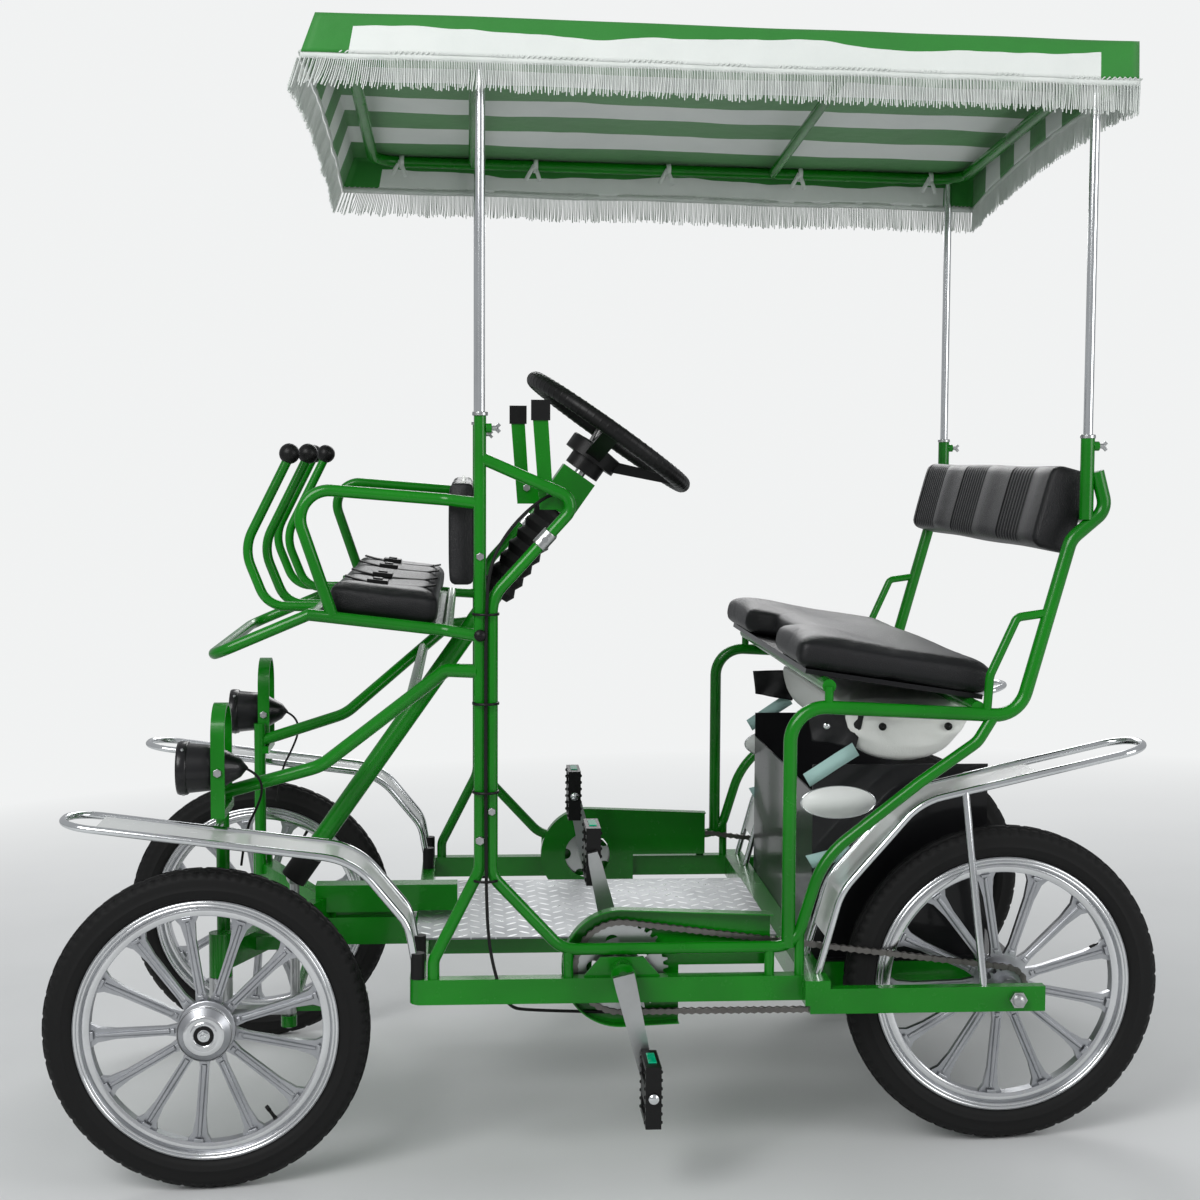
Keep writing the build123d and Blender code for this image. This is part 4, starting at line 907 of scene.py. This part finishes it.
def makeCasting(name, where, front, body):
    # on both sides of the wheel ribs and bosses on the spokes, and bright lips; then hub face, nut and valve
    shape = bmesh.new()
    bright = bmesh.new()
    rib = wheels["rib"]
    for side in (1, -1):
        face = where if side > 0 else where @ turned(math.pi, "X")
        for i in range(wheels["spokes"]):
            angle = i * math.tau / wheels["spokes"]
            addRib(shape, turnedBy(face, angle, rib["from"], rib["height"]), rib["long"], rib["wide"],
                   rib["wideEnd"], rib["high"])
            for radius, height, size in wheels["bosses"]:
                addBlock(shape, turnedBy(face, angle, radius, height), size)
        if front or side < 0:
            lathed(shape, face, wheels["flange"], 64)
        for section in wheels["lips"]:
            lathed(bright, face, section, 128)
    crisped(piece(f"castingRibs_{name}", shape, wheelAlloy, body, smooth=False), 0.0009)
    capEnd = where @ shifted(0, 0, wheels["capEnd"])
    if front:
        for section in wheels["hubFace"]:
            lathed(bright, capEnd, section, 64)
    piece(f"rimTrim_{name}", bright, polishedLip, body)
    if front:
        # painted shade: a flat black disc closes the hub's hole round the nut
        shadeDisc = bmesh.new()
        lathed(shadeDisc, capEnd, wheels["hubHoleShade"], 48)
        piece(f"hubHoleShade_{name}", shadeDisc, paintedHoleShade, body)
        nut = bmesh.new()
        stepped(nut, capEnd, wheels["nut"])
        crisped(piece(f"hubNut_{name}", nut, chromePlate, body, smooth=False), 0.0005)
    valve = bmesh.new()
    foot = turnedBy(where, wheels["valveTurn" if front else "rearValveTurn"], wheels["valveFoot"], 0)
    stepped(valve, foot @ turned(-math.pi / 2, "Y"), wheels["valve"])
    piece(f"valve_{name}", valve, softRubber, body)


for endName, end in (("front", 1), ("rear", -1)):
    for sideName, hand in (("left", 1), ("right", -1)):
        name = f"{endName}_{sideName}"
        makeTyre(name, wheelFrame(end, hand), f"wheel_{name}")
        makeCasting(name, wheelFrame(end, hand), end > 0, f"wheel_{name}")
print("tyres and wheel trim made")


# Drive chains: every link, with its plates and roller

chain = {
    "y": 446.0, "ring": (626.964, 41.0, 72.86), "cog": (0.0, 0.0, 32.55), "pitch": 12.7,
    "plate": 1.1, "inner": 2.7, "outer": 4.0, "plateEnd": 5.2, "waist": 3.3,
    # pin and roller across the chain: (start, radius, height, sides, radius at the top)
    "pin": ((0, 2.2, 10.0, 8, 2.2), (2.6, 3.9, 4.8, 10, 3.9)),
}


def chainPins():
    # places of the pins along the belt round both chain wheels
    ringX, ringZ, ringRadius = chain["ring"]
    cogX, cogZ, cogRadius = chain["cog"]
    far = math.hypot(ringX - cogX, ringZ - cogZ)
    tilt = math.atan2(ringZ - cogZ, ringX - cogX)
    spread = math.acos((ringRadius - cogRadius) / far)
    fine = []
    for i in range(201):
        angle = tilt + (math.pi - spread) * (1 - 2 * i / 200)
        fine.append((ringX + ringRadius * math.cos(angle), ringZ + ringRadius * math.sin(angle)))
    for i in range(101):
        angle = tilt - (math.pi - spread) - 2 * spread * i / 100
        fine.append((cogX + cogRadius * math.cos(angle), cogZ + cogRadius * math.sin(angle)))
    fine.append(fine[0])
    runs = [math.hypot(b[0] - a[0], b[1] - a[1]) for a, b in zip(fine, fine[1:])]
    count = 2 * round(sum(runs) / chain["pitch"] / 2)
    step = sum(runs) / count
    pins, walked, index = [], 0.0, 0
    for i in range(count):
        while walked + runs[index] < i * step:
            walked += runs[index]
            index += 1
        share = (i * step - walked) / runs[index]
        (x, z), (nextX, nextZ) = fine[index], fine[index + 1]
        pins.append((x + (nextX - x) * share, z + (nextZ - z) * share))
    return pins


def makeChain(side, hand):
    pins = chainPins()
    shape = bmesh.new()
    outline = []
    for end, turn in ((0.0, 90), (chain["pitch"], -90)):
        for i in range(5):
            angle = math.radians(turn + i * 45)
            outline.append((end + chain["plateEnd"] * math.cos(angle), chain["plateEnd"] * math.sin(angle)))
    outline.insert(5, (chain["pitch"] / 2, -chain["waist"]))
    outline.append((chain["pitch"] / 2, chain["waist"]))
    for i, (x, z) in enumerate(pins):
        nextX, nextZ = pins[(i + 1) % len(pins)]
        along = math.atan2(nextZ - z, nextX - x)
        where = chassis @ shifted(x, hand * chain["y"], z) @ turned(-along, "Y")
        gap = chain["outer"] if i % 2 else chain["inner"]
        for face in (-gap, gap):
            low = [shape.verts.new(where @ Vector((px, face - chain["plate"] / 2, pz))) for px, pz in outline]
            grown = bmesh.ops.extrude_face_region(shape, geom=[shape.faces.new(low)])["geom"]
            bmesh.ops.translate(shape, verts=cornersOf(grown),
                                vec=where.to_3x3() @ Vector((0, chain["plate"], 0)))
        stepped(shape, where @ turned(math.pi / 2, "X") @ shifted(0, 0, -5.0), chain["pin"])
    made = piece(f"chainLinks_{side}", shape, chainSteel, "chassis", smooth=False, join=0.0)
    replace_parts(made, "chains")


makeChain("left", 1)
makeChain("right", -1)
print("chains made")


# Steering wheel, lamps and pedals

steeringTrim = {
    "centre": (637.0, 250.0, 896.0), "tilt": (-0.611527, 0, 0.791224), "spokes": (90, 180, 270),
    # two ribs on each spoke: where they start from the centre, their slope and their distance from its middle
    "ribStart": (36, 0, -38), "ribSlope": 0.385, "ribReach": 8.5, "ribLong": 104,
    "capHeight": -33,
    "cap": [(45.4, 0.2), (44.2, 2.2), (33.0, 2.6), (31.8, 1.4), (30.6, 3.6), (12.0, 5.4), (0.4, 5.8)],
    "grips": 72, "gripRadius": 150, "grip": [(13.05, -2.2), (13.7, 0.0), (13.05, 2.2)],
}


def makeSteeringTrim():
    tilt = Vector(steeringTrim["tilt"])
    axes = Matrix((tilt.cross((0, 1, 0)) * -1, (0, 1, 0), tilt)).transposed().to_4x4()
    column = Matrix.Translation(at(*steeringTrim["centre"])) @ axes @ toMetres
    shape = bmesh.new()
    for turn in steeringTrim["spokes"]:
        slope = (column @ turned(math.radians(turn), "Z") @ shifted(*steeringTrim["ribStart"])
                 @ turned(-steeringTrim["ribSlope"], "Y"))
        for y in (-steeringTrim["ribReach"], steeringTrim["ribReach"]):
            addRib(shape, slope @ shifted(0, y, 0), steeringTrim["ribLong"], 3.6, 3.0, 3.2)
    lathed(shape, column @ shifted(0, 0, steeringTrim["capHeight"]), steeringTrim["cap"], 64)
    for i in range(steeringTrim["grips"]):
        where = turnedBy(column, i * math.tau / steeringTrim["grips"], steeringTrim["gripRadius"], 0)
        lathed(shape, where @ turned(math.pi / 2, "X"), steeringTrim["grip"], 18)
    piece("steeringTrim", shape, blackPlastic, "steering", join=0.0)


lamp = {
    "rear": 1225.25, "y": 350.0, "z": 351.0, "screws": (20, 140, 260), "yokeX": 43, "yokeReach": 53,
    # sections round the lamp's axis: (radius, distance from its rear tip)
    "ring": [(41.6, 95), (43.4, 97), (43.6, 108), (42.4, 111.6), (39.4, 112), (38.0, 110.2), (38.0, 108.6)],
    "band": [(30.6, 38), (31.6, 40), (33.0, 42), (32.6, 39)],
    "dome": [(37.8, 108.4), (28, 109.8), (14, 110.6), (0.4, 110.9)],
    # the reflector, seen through the glass, with a bulb holder in its middle
    "reflector": [(37.9, 104.2), (30, 104.15), (9.0, 104.1), (8.0, 105.6), (0.4, 105.9)],
    "wire": ((1228, 350, 349), (1210, 349, 340), (1203, 338, 312), (1216, 318, 278), (1236, 302, 240),
             (1244, 299, 180)),
}


def makeLampTrim():
    shape = bmesh.new()
    screws = bmesh.new()
    glass = bmesh.new()
    mirror = bmesh.new()
    for hand in (1, -1):
        front = chassis @ shifted(lamp["rear"], hand * lamp["y"], lamp["z"]) @ turned(math.pi / 2, "Y")
        for part, section in ((shape, "ring"), (shape, "band"), (glass, "dome"), (mirror, "reflector")):
            lathed(part, front, lamp[section], 72)
        for turn in lamp["screws"]:
            head = turnedBy(front, math.radians(turn), 43, 102)
            addDisc(screws, head @ turned(math.pi / 2, "Y"), 3.0, 2.0, 16, 2.4)
        for reach in (-lamp["yokeReach"], lamp["yokeReach"]):
            bolt = chassis @ shifted(lamp["rear"] + lamp["yokeX"], hand * lamp["y"] + reach, lamp["z"])
            addDisc(screws, bolt @ turned(math.copysign(math.pi / 2, -reach), "X"), 7.0, 4.0, 6)
    piece("lampRings", shape, blackPaint, "chassis")
    crisped(piece("lampScrews", screws, steelPart, "chassis", smooth=False), 0.0004)
    piece("lampDomes", glass, lampGlass, "chassis")
    piece("lampReflectors", mirror, polishedLip, "chassis")
    wires = [[at(x, hand * y, z) for x, y, z in lamp["wire"]] for hand in (1, -1)]
    rods("lampWires", wires, 0.0021, softRubber, "chassis", smooth=True)


pedals = {
    "crankX": 626.964, "crankZ": 41.0, "reach": 159.0, "half": 48.0, "thick": 12.0,
    # which pedal: (name, turn of its crank arm, middle across the vehicle)
    "places": (("outer", 193.4, 586.0), ("inner", 13.4, 289.0)),
    "reflector": (13, 46, 2.6), "rails": (-38, 38), "teeth": 7, "toothStep": 13,
}


def makePedalTrim():
    for sideName, hand in (("left", 1), ("right", -1)):
        for kind, turn, middle in pedals["places"]:
            angle = math.radians(turn)
            where = chassis @ shifted(pedals["crankX"] + pedals["reach"] * math.sin(angle), hand * middle,
                                      pedals["crankZ"] + pedals["reach"] * math.cos(angle))
            glow = bmesh.new()
            for end in (-1, 1):
                addBlock(glow, where @ shifted(0, 0, end * (pedals["half"] + 0.9)), pedals["reflector"])
            body = f"pedal_{kind}_{sideName}"
            crisped(piece(f"pedalReflector_{kind}_{sideName}", glow, greenReflector, body,
                          smooth=False))
            teeth = bmesh.new()
            for face in (-1, 1):
                for y in pedals["rails"]:
                    for i in range(pedals["teeth"]):
                        up = (i - (pedals["teeth"] - 1) / 2) * pedals["toothStep"]
                        spot = where @ shifted(face * pedals["thick"], y, up)
                        addDisc(teeth, spot @ turned(face * math.pi / 2, "Y"), 3.6, 2.4, 4, 1.8)
            piece(f"pedalTeeth_{kind}_{sideName}", teeth, blackPlastic, body, smooth=False)
            pin = bmesh.new()
            out = hand if kind == "outer" else -hand
            end = where @ shifted(0, out * 46, 0) @ turned(-out * math.pi / 2, "X")
            addDisc(pin, end, 9.0, 4.0, 24, 7.4)
            piece(f"pedalCap_{kind}_{sideName}", pin, chromePlate, f"crank_{sideName}")


makeSteeringTrim()
makeLampTrim()
makePedalTrim()
print("steering, lamp and pedal trim made")


# Badges, straps, belts, screws, collars, cable and studs

badge = {
    "place": (256.0, 329.2, 284.0), "halfLong": 64.0, "halfHigh": 28.0, "sides": 72,
    "rim": ((61.0, 1.0), (62.4, 2.4), (64.0, 0.0)),
}


def makeBadge():
    # a bare oval plate with a raised bright rim on each side panel
    plateWhite = moulded("plateWhite", (0.74, 0.76, 0.74), 0.3, 300.0, 0.05)
    plates = bmesh.new()
    rims = bmesh.new()
    for hand in (1, -1):
        x, y, z = badge["place"]
        where = (chassis @ shifted(x, hand * y, z) @ turned(-hand * math.pi / 2, "X")
                 @ Matrix.Diagonal((1, badge["halfHigh"] / badge["halfLong"], 1, 1)))
        addDisc(plates, where, badge["halfLong"] - 3, 1.4, badge["sides"])
        rings = []
        for radius, high in badge["rim"]:
            bmesh.ops.create_circle(rims, cap_ends=False, segments=badge["sides"], radius=radius,
                                    matrix=where @ shifted(0, 0, high))
            rings.append(list(rims.edges)[-badge["sides"]:])
        for first, second in zip(rings, rings[1:]):
            bmesh.ops.bridge_loops(rims, edges=first + second)
    piece("badgePlates", plates, plateWhite, "chassis")
    piece("badgeRims", rims, chromePlate, "chassis", join=0.00003)


straps = {
    # the two runs that show on each side of the tray, and how their width lies
    "tray": (((310, 331, 321), (283, 333, 339), (256, 334, 357), (229, 335, 374)),
             ((304, 331, 184), (280, 331.5, 190), (256, 331.5, 196), (232, 331, 201))),
    "across": (0.5, 0, 0.85), "trayWidth": 0.024,
    "beltPlaces": (-300, -110, 110, 300), "beltWidth": 0.03, "beltSway": 14,
}


def makeStraps():
    tray = [[at(x, hand * y, z) for x, y, z in run] for hand in (1, -1) for run in straps["tray"]]
    strap("trayStraps", tray, straps["trayWidth"], 0.0018, strapWeb,
          frameTurn @ Vector(straps["across"]))
    belts = []
    pad = chassis @ leanedAt(*childSeat["padCentre"], childSeat["slope"])
    for y in straps["beltPlaces"]:
        sway = math.copysign(straps["beltSway"], y)
        run = ((-78, y, 60), (-56, y, 54), (-30, y + sway * 0.4, 53), (0, y + sway, 52.5),
               (28, y + sway * 1.4, 54), (52, y + sway * 1.3, 57), (70, y + sway, 60))
        belts.append([pad @ Vector(spot) for spot in run])
    strap("childBelts", belts, straps["beltWidth"], 0.002, softRubber)
    buckles = bmesh.new()
    for y in straps["beltPlaces"]:
        where = pad @ shifted(16, y + math.copysign(18, y), 56.5)
        addBlock(buckles, where, (34, 40, 8))
        addBlock(buckles, where @ shifted(0, 0, 5), (16, 22, 3))
    crisped(piece("beltBuckles", buckles, blackPlastic, "chassis", smooth=False), 0.002, 3)


fixings = {
    # on the masts, outboard: (place, radius, height, sides)
    "cap": ((852, 481, 577), 9.5, 5, 32),
    "bolts": (((852, 479, 254), 8, 4, 6), ((833.5, 479, 300), 7, 4, 6), ((852, 479, 700), 7, 4, 6)),
    # along the vehicle and up: the posts' clamp screws, and the tops of their sockets
    "screws": ((852, 899), (-108, 876)), "sockets": ((852, 919), (-108, 889)),
    # boss and screw in steps: (start, radius, height, sides, radius at the top)
    "boss": ((-2, 7.5, 9, 24, 7.5),), "screw": ((7, 4.0, 8, 16, 4.0),), "wing": (2.6, 6, 10), "wingLean": 0.8,
    "collar": [(7.7, 6.4), (11.4, 6.2), (12.2, 5.0), (12.2, 0.4), (11.0, 0.0)],
    "sleevePlace": (761, 470, 716), "arm": (-136.5, 0, 150),
    "sleeve": [(9.6, -0.4), (12.2, 0.0), (12.6, 1.2), (12.6, 27), (12.2, 28.2), (9.6, 28.6)],
    "axleNut": [(10.4, 0.0), (10.2, 2.2), (7.4, 5.2), (3.4, 6.6), (0.3, 6.9)], "axleEnd": 526,
    "levers": ((742.0, 436, 800), (768.0, 64, 800)),
}


def makeFixings():
    bright = bmesh.new()
    dark = bmesh.new()
    painted = bmesh.new()
    side = stance["sideY"]
    for hand in (1, -1):
        outboard = frameTurn @ Vector((0, hand, 0))
        for shape, rows in ((dark, (fixings["cap"],)), (bright, fixings["bolts"])):
            for (x, y, z), radius, high, sides in rows:
                addDisc(shape, pointed(x, hand * y, z, outboard), radius, high, sides, radius * 0.86)
        # clamp screws of the four posts, with their wings
        for x, z in fixings["screws"]:
            root = pointed(x - 11, hand * side, z, frameTurn @ Vector((-1, 0, 0)))
            stepped(painted, root, fixings["boss"])
            stepped(bright, root, fixings["screw"])
            for lean in (-fixings["wingLean"], fixings["wingLean"]):
                wing = root @ shifted(0, 0, 13) @ turned(lean, "X") @ shifted(0, 0, 4)
                addBlock(bright, wing, fixings["wing"])
        # collars where the posts leave their sockets
        for x, z in fixings["sockets"]:
            foot = pointed(x, hand * side, z - 1, frameTurn @ Vector((0, 0, 1)))
            lathed(bright, foot, fixings["collar"], 48)
        # sleeve on the console arm, with its bolt
        x, y, z = fixings["sleevePlace"]
        sleeve = pointed(x, hand * y, z, frameTurn @ Vector(fixings["arm"]))
        lathed(bright, sleeve, fixings["sleeve"], 48)
        addDisc(bright, sleeve @ shifted(0, 0, 14) @ turned(-math.pi / 2, "Y") @ shifted(0, 0, 11), 5.5, 6, 6)
        lathed(bright, pointed(0, hand * fixings["axleEnd"], 0, (0, hand, 0)), fixings["axleNut"], 32)
    # the levers' pivot bolts, on both faces of each lever
    for x, y, z in fixings["levers"]:
        for way in (1, -1):
            addDisc(bright, pointed(x, y + way * 2.4, z, (0, way, 0)), 6.5, 3.6, 6)
    crisped(piece("brightFixings", bright, steelPart, "chassis", smooth=False), 0.0004)
    piece("darkCaps", dark, blackPlastic, "chassis")
    crisped(piece("screwBosses", painted, greenPaint, "chassis", smooth=False), 0.0006)


cable = {
    "run": ((716, 436, 800), (742, 446, 800), (800, 462, 752), (838, 481.5, 690), (843, 481.5, 600),
            (843, 481.5, 480), (843, 481.5, 330), (842, 482, 160), (838, 484, 90), (826, 480, 32),
            (808, 462, -16), (776, 440, -30), (640, 440, -34)),
    # ties round mast and cable: their places, their section round the mast, and how far it is drawn out
    "tieX": 843, "ties": (610, 470, 330, 190), "tie": [(12.6, -2.0), (14.2, -1.8), (14.2, 1.8), (12.6, 2.0)],
    "tieStretch": (1.5, 1, 1, 1),
}


def makeCable():
    # the parking brake's cable, tied along the near mast
    rods("brakeCable", [[at(*place) for place in cable["run"]]], 0.0026, softRubber, "chassis",
         smooth=True)
    ties = bmesh.new()
    for z in cable["ties"]:
        where = pointed(cable["tieX"], stance["sideY"], z, upward) @ Matrix.Diagonal(cable["tieStretch"])
        lathed(ties, where, cable["tie"], 40)
    piece("cableTies", ties, blackPlastic, "chassis")


def makeBagStuds():
    # two dark studs on each end of the bag, and a black flap in front of it with a bright one
    studs = bmesh.new()
    bright = bmesh.new()
    flaps = bmesh.new()
    for hand in (1, -1):
        for shape, (x, z), face in ((studs, bag["studs"][0], 325), (studs, bag["studs"][1], 325),
                                    (bright, bag["flapStud"], 318)):
            lathed(shape, pointed(x, hand * face, z, (0, hand, 0)), bag["stud"], 28)
        grid = bmesh.ops.create_grid(flaps, x_segments=22, y_segments=14, size=0.5)["verts"]
        (rearX, topZ), (frontX, frontZ), (lowX, lowZ), (tipX, tipZ) = bag["flap"]
        for corner in grid:
            u, v = corner.co.x + 0.5, corner.co.y + 0.5
            x = (rearX + (frontX - rearX) * u) * v + (tipX + (lowX - tipX) * u) * (1 - v)
            z = (topZ + (frontZ - topZ) * u) * v + (tipZ + (lowZ - tipZ) * u) * (1 - v)
            ripple = 2.6 * math.sin(x / 9 + z / 15) + 4 * noise.noise(Vector((x / 30, z / 24, 3.1)))
            corner.co = at(x, hand * (319 + ripple), z)
    piece("bagStuds", studs, blackPlastic, "chassis")
    piece("flapStuds", bright, chromePlate, "chassis")
    thickened(piece("bagFlaps", flaps, blackVinyl, "chassis", join=0.0), 0.0018)


makeBadge()
makeStraps()
makeFixings()
makeCable()
makeBagStuds()
print("badges, straps, fixings and cables made")


# Camera, floor and light

camera = {
    "place": (0.186, 3.507, 1.156),
    "yaw": -3.67, "pitch": -4.41, "roll": -2.32,
    "focalPixels": 1950.0, "imagePixels": 1200.0, "sensor": 36.0,
}


def makeCamera():
    yaw, pitch, roll = (math.radians(camera[key]) for key in ("yaw", "pitch", "roll"))
    level = Vector((math.sin(yaw), -math.cos(yaw), 0))
    right = Vector((-math.cos(yaw), -math.sin(yaw), 0))
    ahead = level * math.cos(pitch) + Vector((0, 0, math.sin(pitch)))
    above = Vector((0, 0, math.cos(pitch))) - level * math.sin(pitch)
    across = right * math.cos(roll) + above * math.sin(roll)
    top = above * math.cos(roll) - right * math.sin(roll)
    data = bpy.data.cameras.new("camera")
    data.sensor_width = camera["sensor"]
    data.lens = camera["focalPixels"] / camera["imagePixels"] * camera["sensor"]
    made = linked("camera", data)
    turn = Matrix((across, top, -ahead)).transposed().to_4x4()
    made.matrix_world = Matrix.Translation(camera["place"]) @ turn
    bpy.context.scene.camera = made


def addLight(name, place, target, power, size):
    data = bpy.data.lights.new(name, "AREA")
    data.energy = power
    data.size = size
    made = linked(name, data)
    made.matrix_world = facing(place, Vector(place) - Vector(target))


studioTone = (0.88, 0.89, 0.89)


def makeStage():
    floor = bpy.data.meshes.new("floor")
    shape = bmesh.new()
    bmesh.ops.create_grid(shape, x_segments=1, y_segments=1, size=14.0)
    shape.to_mesh(floor)
    shape.free()
    made = linked("floor", floor)
    pale = Finish("floorPale", Roughness=0.75)
    grain = pale.noise(pale.place(), 3.0, 4.0)
    pale.set(Base_Color=pale.mix(grain, (0.62, 0.63, 0.63), (0.68, 0.69, 0.69)))
    # far from the vehicle the floor is seen in the background's own tone, so that no edge shows
    x, y, z = pale.axes(pale.place())
    far = pale.spread(x * x + y * y, 1.6, 15.0, 0.0, 1.0)
    seenDirectly = pale.add("ShaderNodeLightPath")
    glow = pale.tree.nodes.new("ShaderNodeEmission")
    glow.inputs["Color"].default_value = (*studioTone, 1)
    blend = pale.tree.nodes.new("ShaderNodeMixShader")
    pale.feed(blend.inputs[0], far * seenDirectly)
    pale.tree.links.new(pale.shader.outputs[0], blend.inputs[1])
    pale.tree.links.new(glow.outputs[0], blend.inputs[2])
    output = [node for node in pale.tree.nodes if node.type == "OUTPUT_MATERIAL"][0]
    pale.tree.links.new(blend.outputs[0], output.inputs[0])
    floor.materials.append(pale.material)

    world = bpy.data.worlds.new("studio")
    bpy.context.scene.world = world
    world.use_nodes = True
    tree = world.node_tree
    tree.nodes.clear()
    output = tree.nodes.new("ShaderNodeOutputWorld")
    soft = tree.nodes.new("ShaderNodeBackground")
    soft.inputs["Color"].default_value = (0.95, 0.97, 1.0, 1)
    soft.inputs["Strength"].default_value = 0.42
    seen = tree.nodes.new("ShaderNodeBackground")
    seen.inputs["Color"].default_value = (*studioTone, 1)
    seen.inputs["Strength"].default_value = 1.0
    rays = tree.nodes.new("ShaderNodeLightPath")
    glass = tree.nodes.new("ShaderNodeMath")
    glass.operation = "MAXIMUM"
    blend = tree.nodes.new("ShaderNodeMixShader")
    tree.links.new(rays.outputs["Is Camera Ray"], glass.inputs[0])
    tree.links.new(rays.outputs["Is Transmission Ray"], glass.inputs[1])
    tree.links.new(glass.outputs[0], blend.inputs[0])
    tree.links.new(soft.outputs[0], blend.inputs[1])
    tree.links.new(seen.outputs[0], blend.inputs[2])
    tree.links.new(blend.outputs[0], output.inputs[0])
    bpy.context.scene.view_settings.view_transform = "Standard"

    addLight("keyLight", (2.2, 3.4, 3.4), (0, 0, 0.7), 130, 2.4)
    addLight("fillLight", (-3.2, 2.6, 1.6), (0, 0, 0.8), 42, 2.0)
    addLight("backLight", (-0.6, -3.6, 3.0), (0, 0, 0.9), 80, 2.4)


makeCamera()
makeStage()
print("camera, floor and lights set")
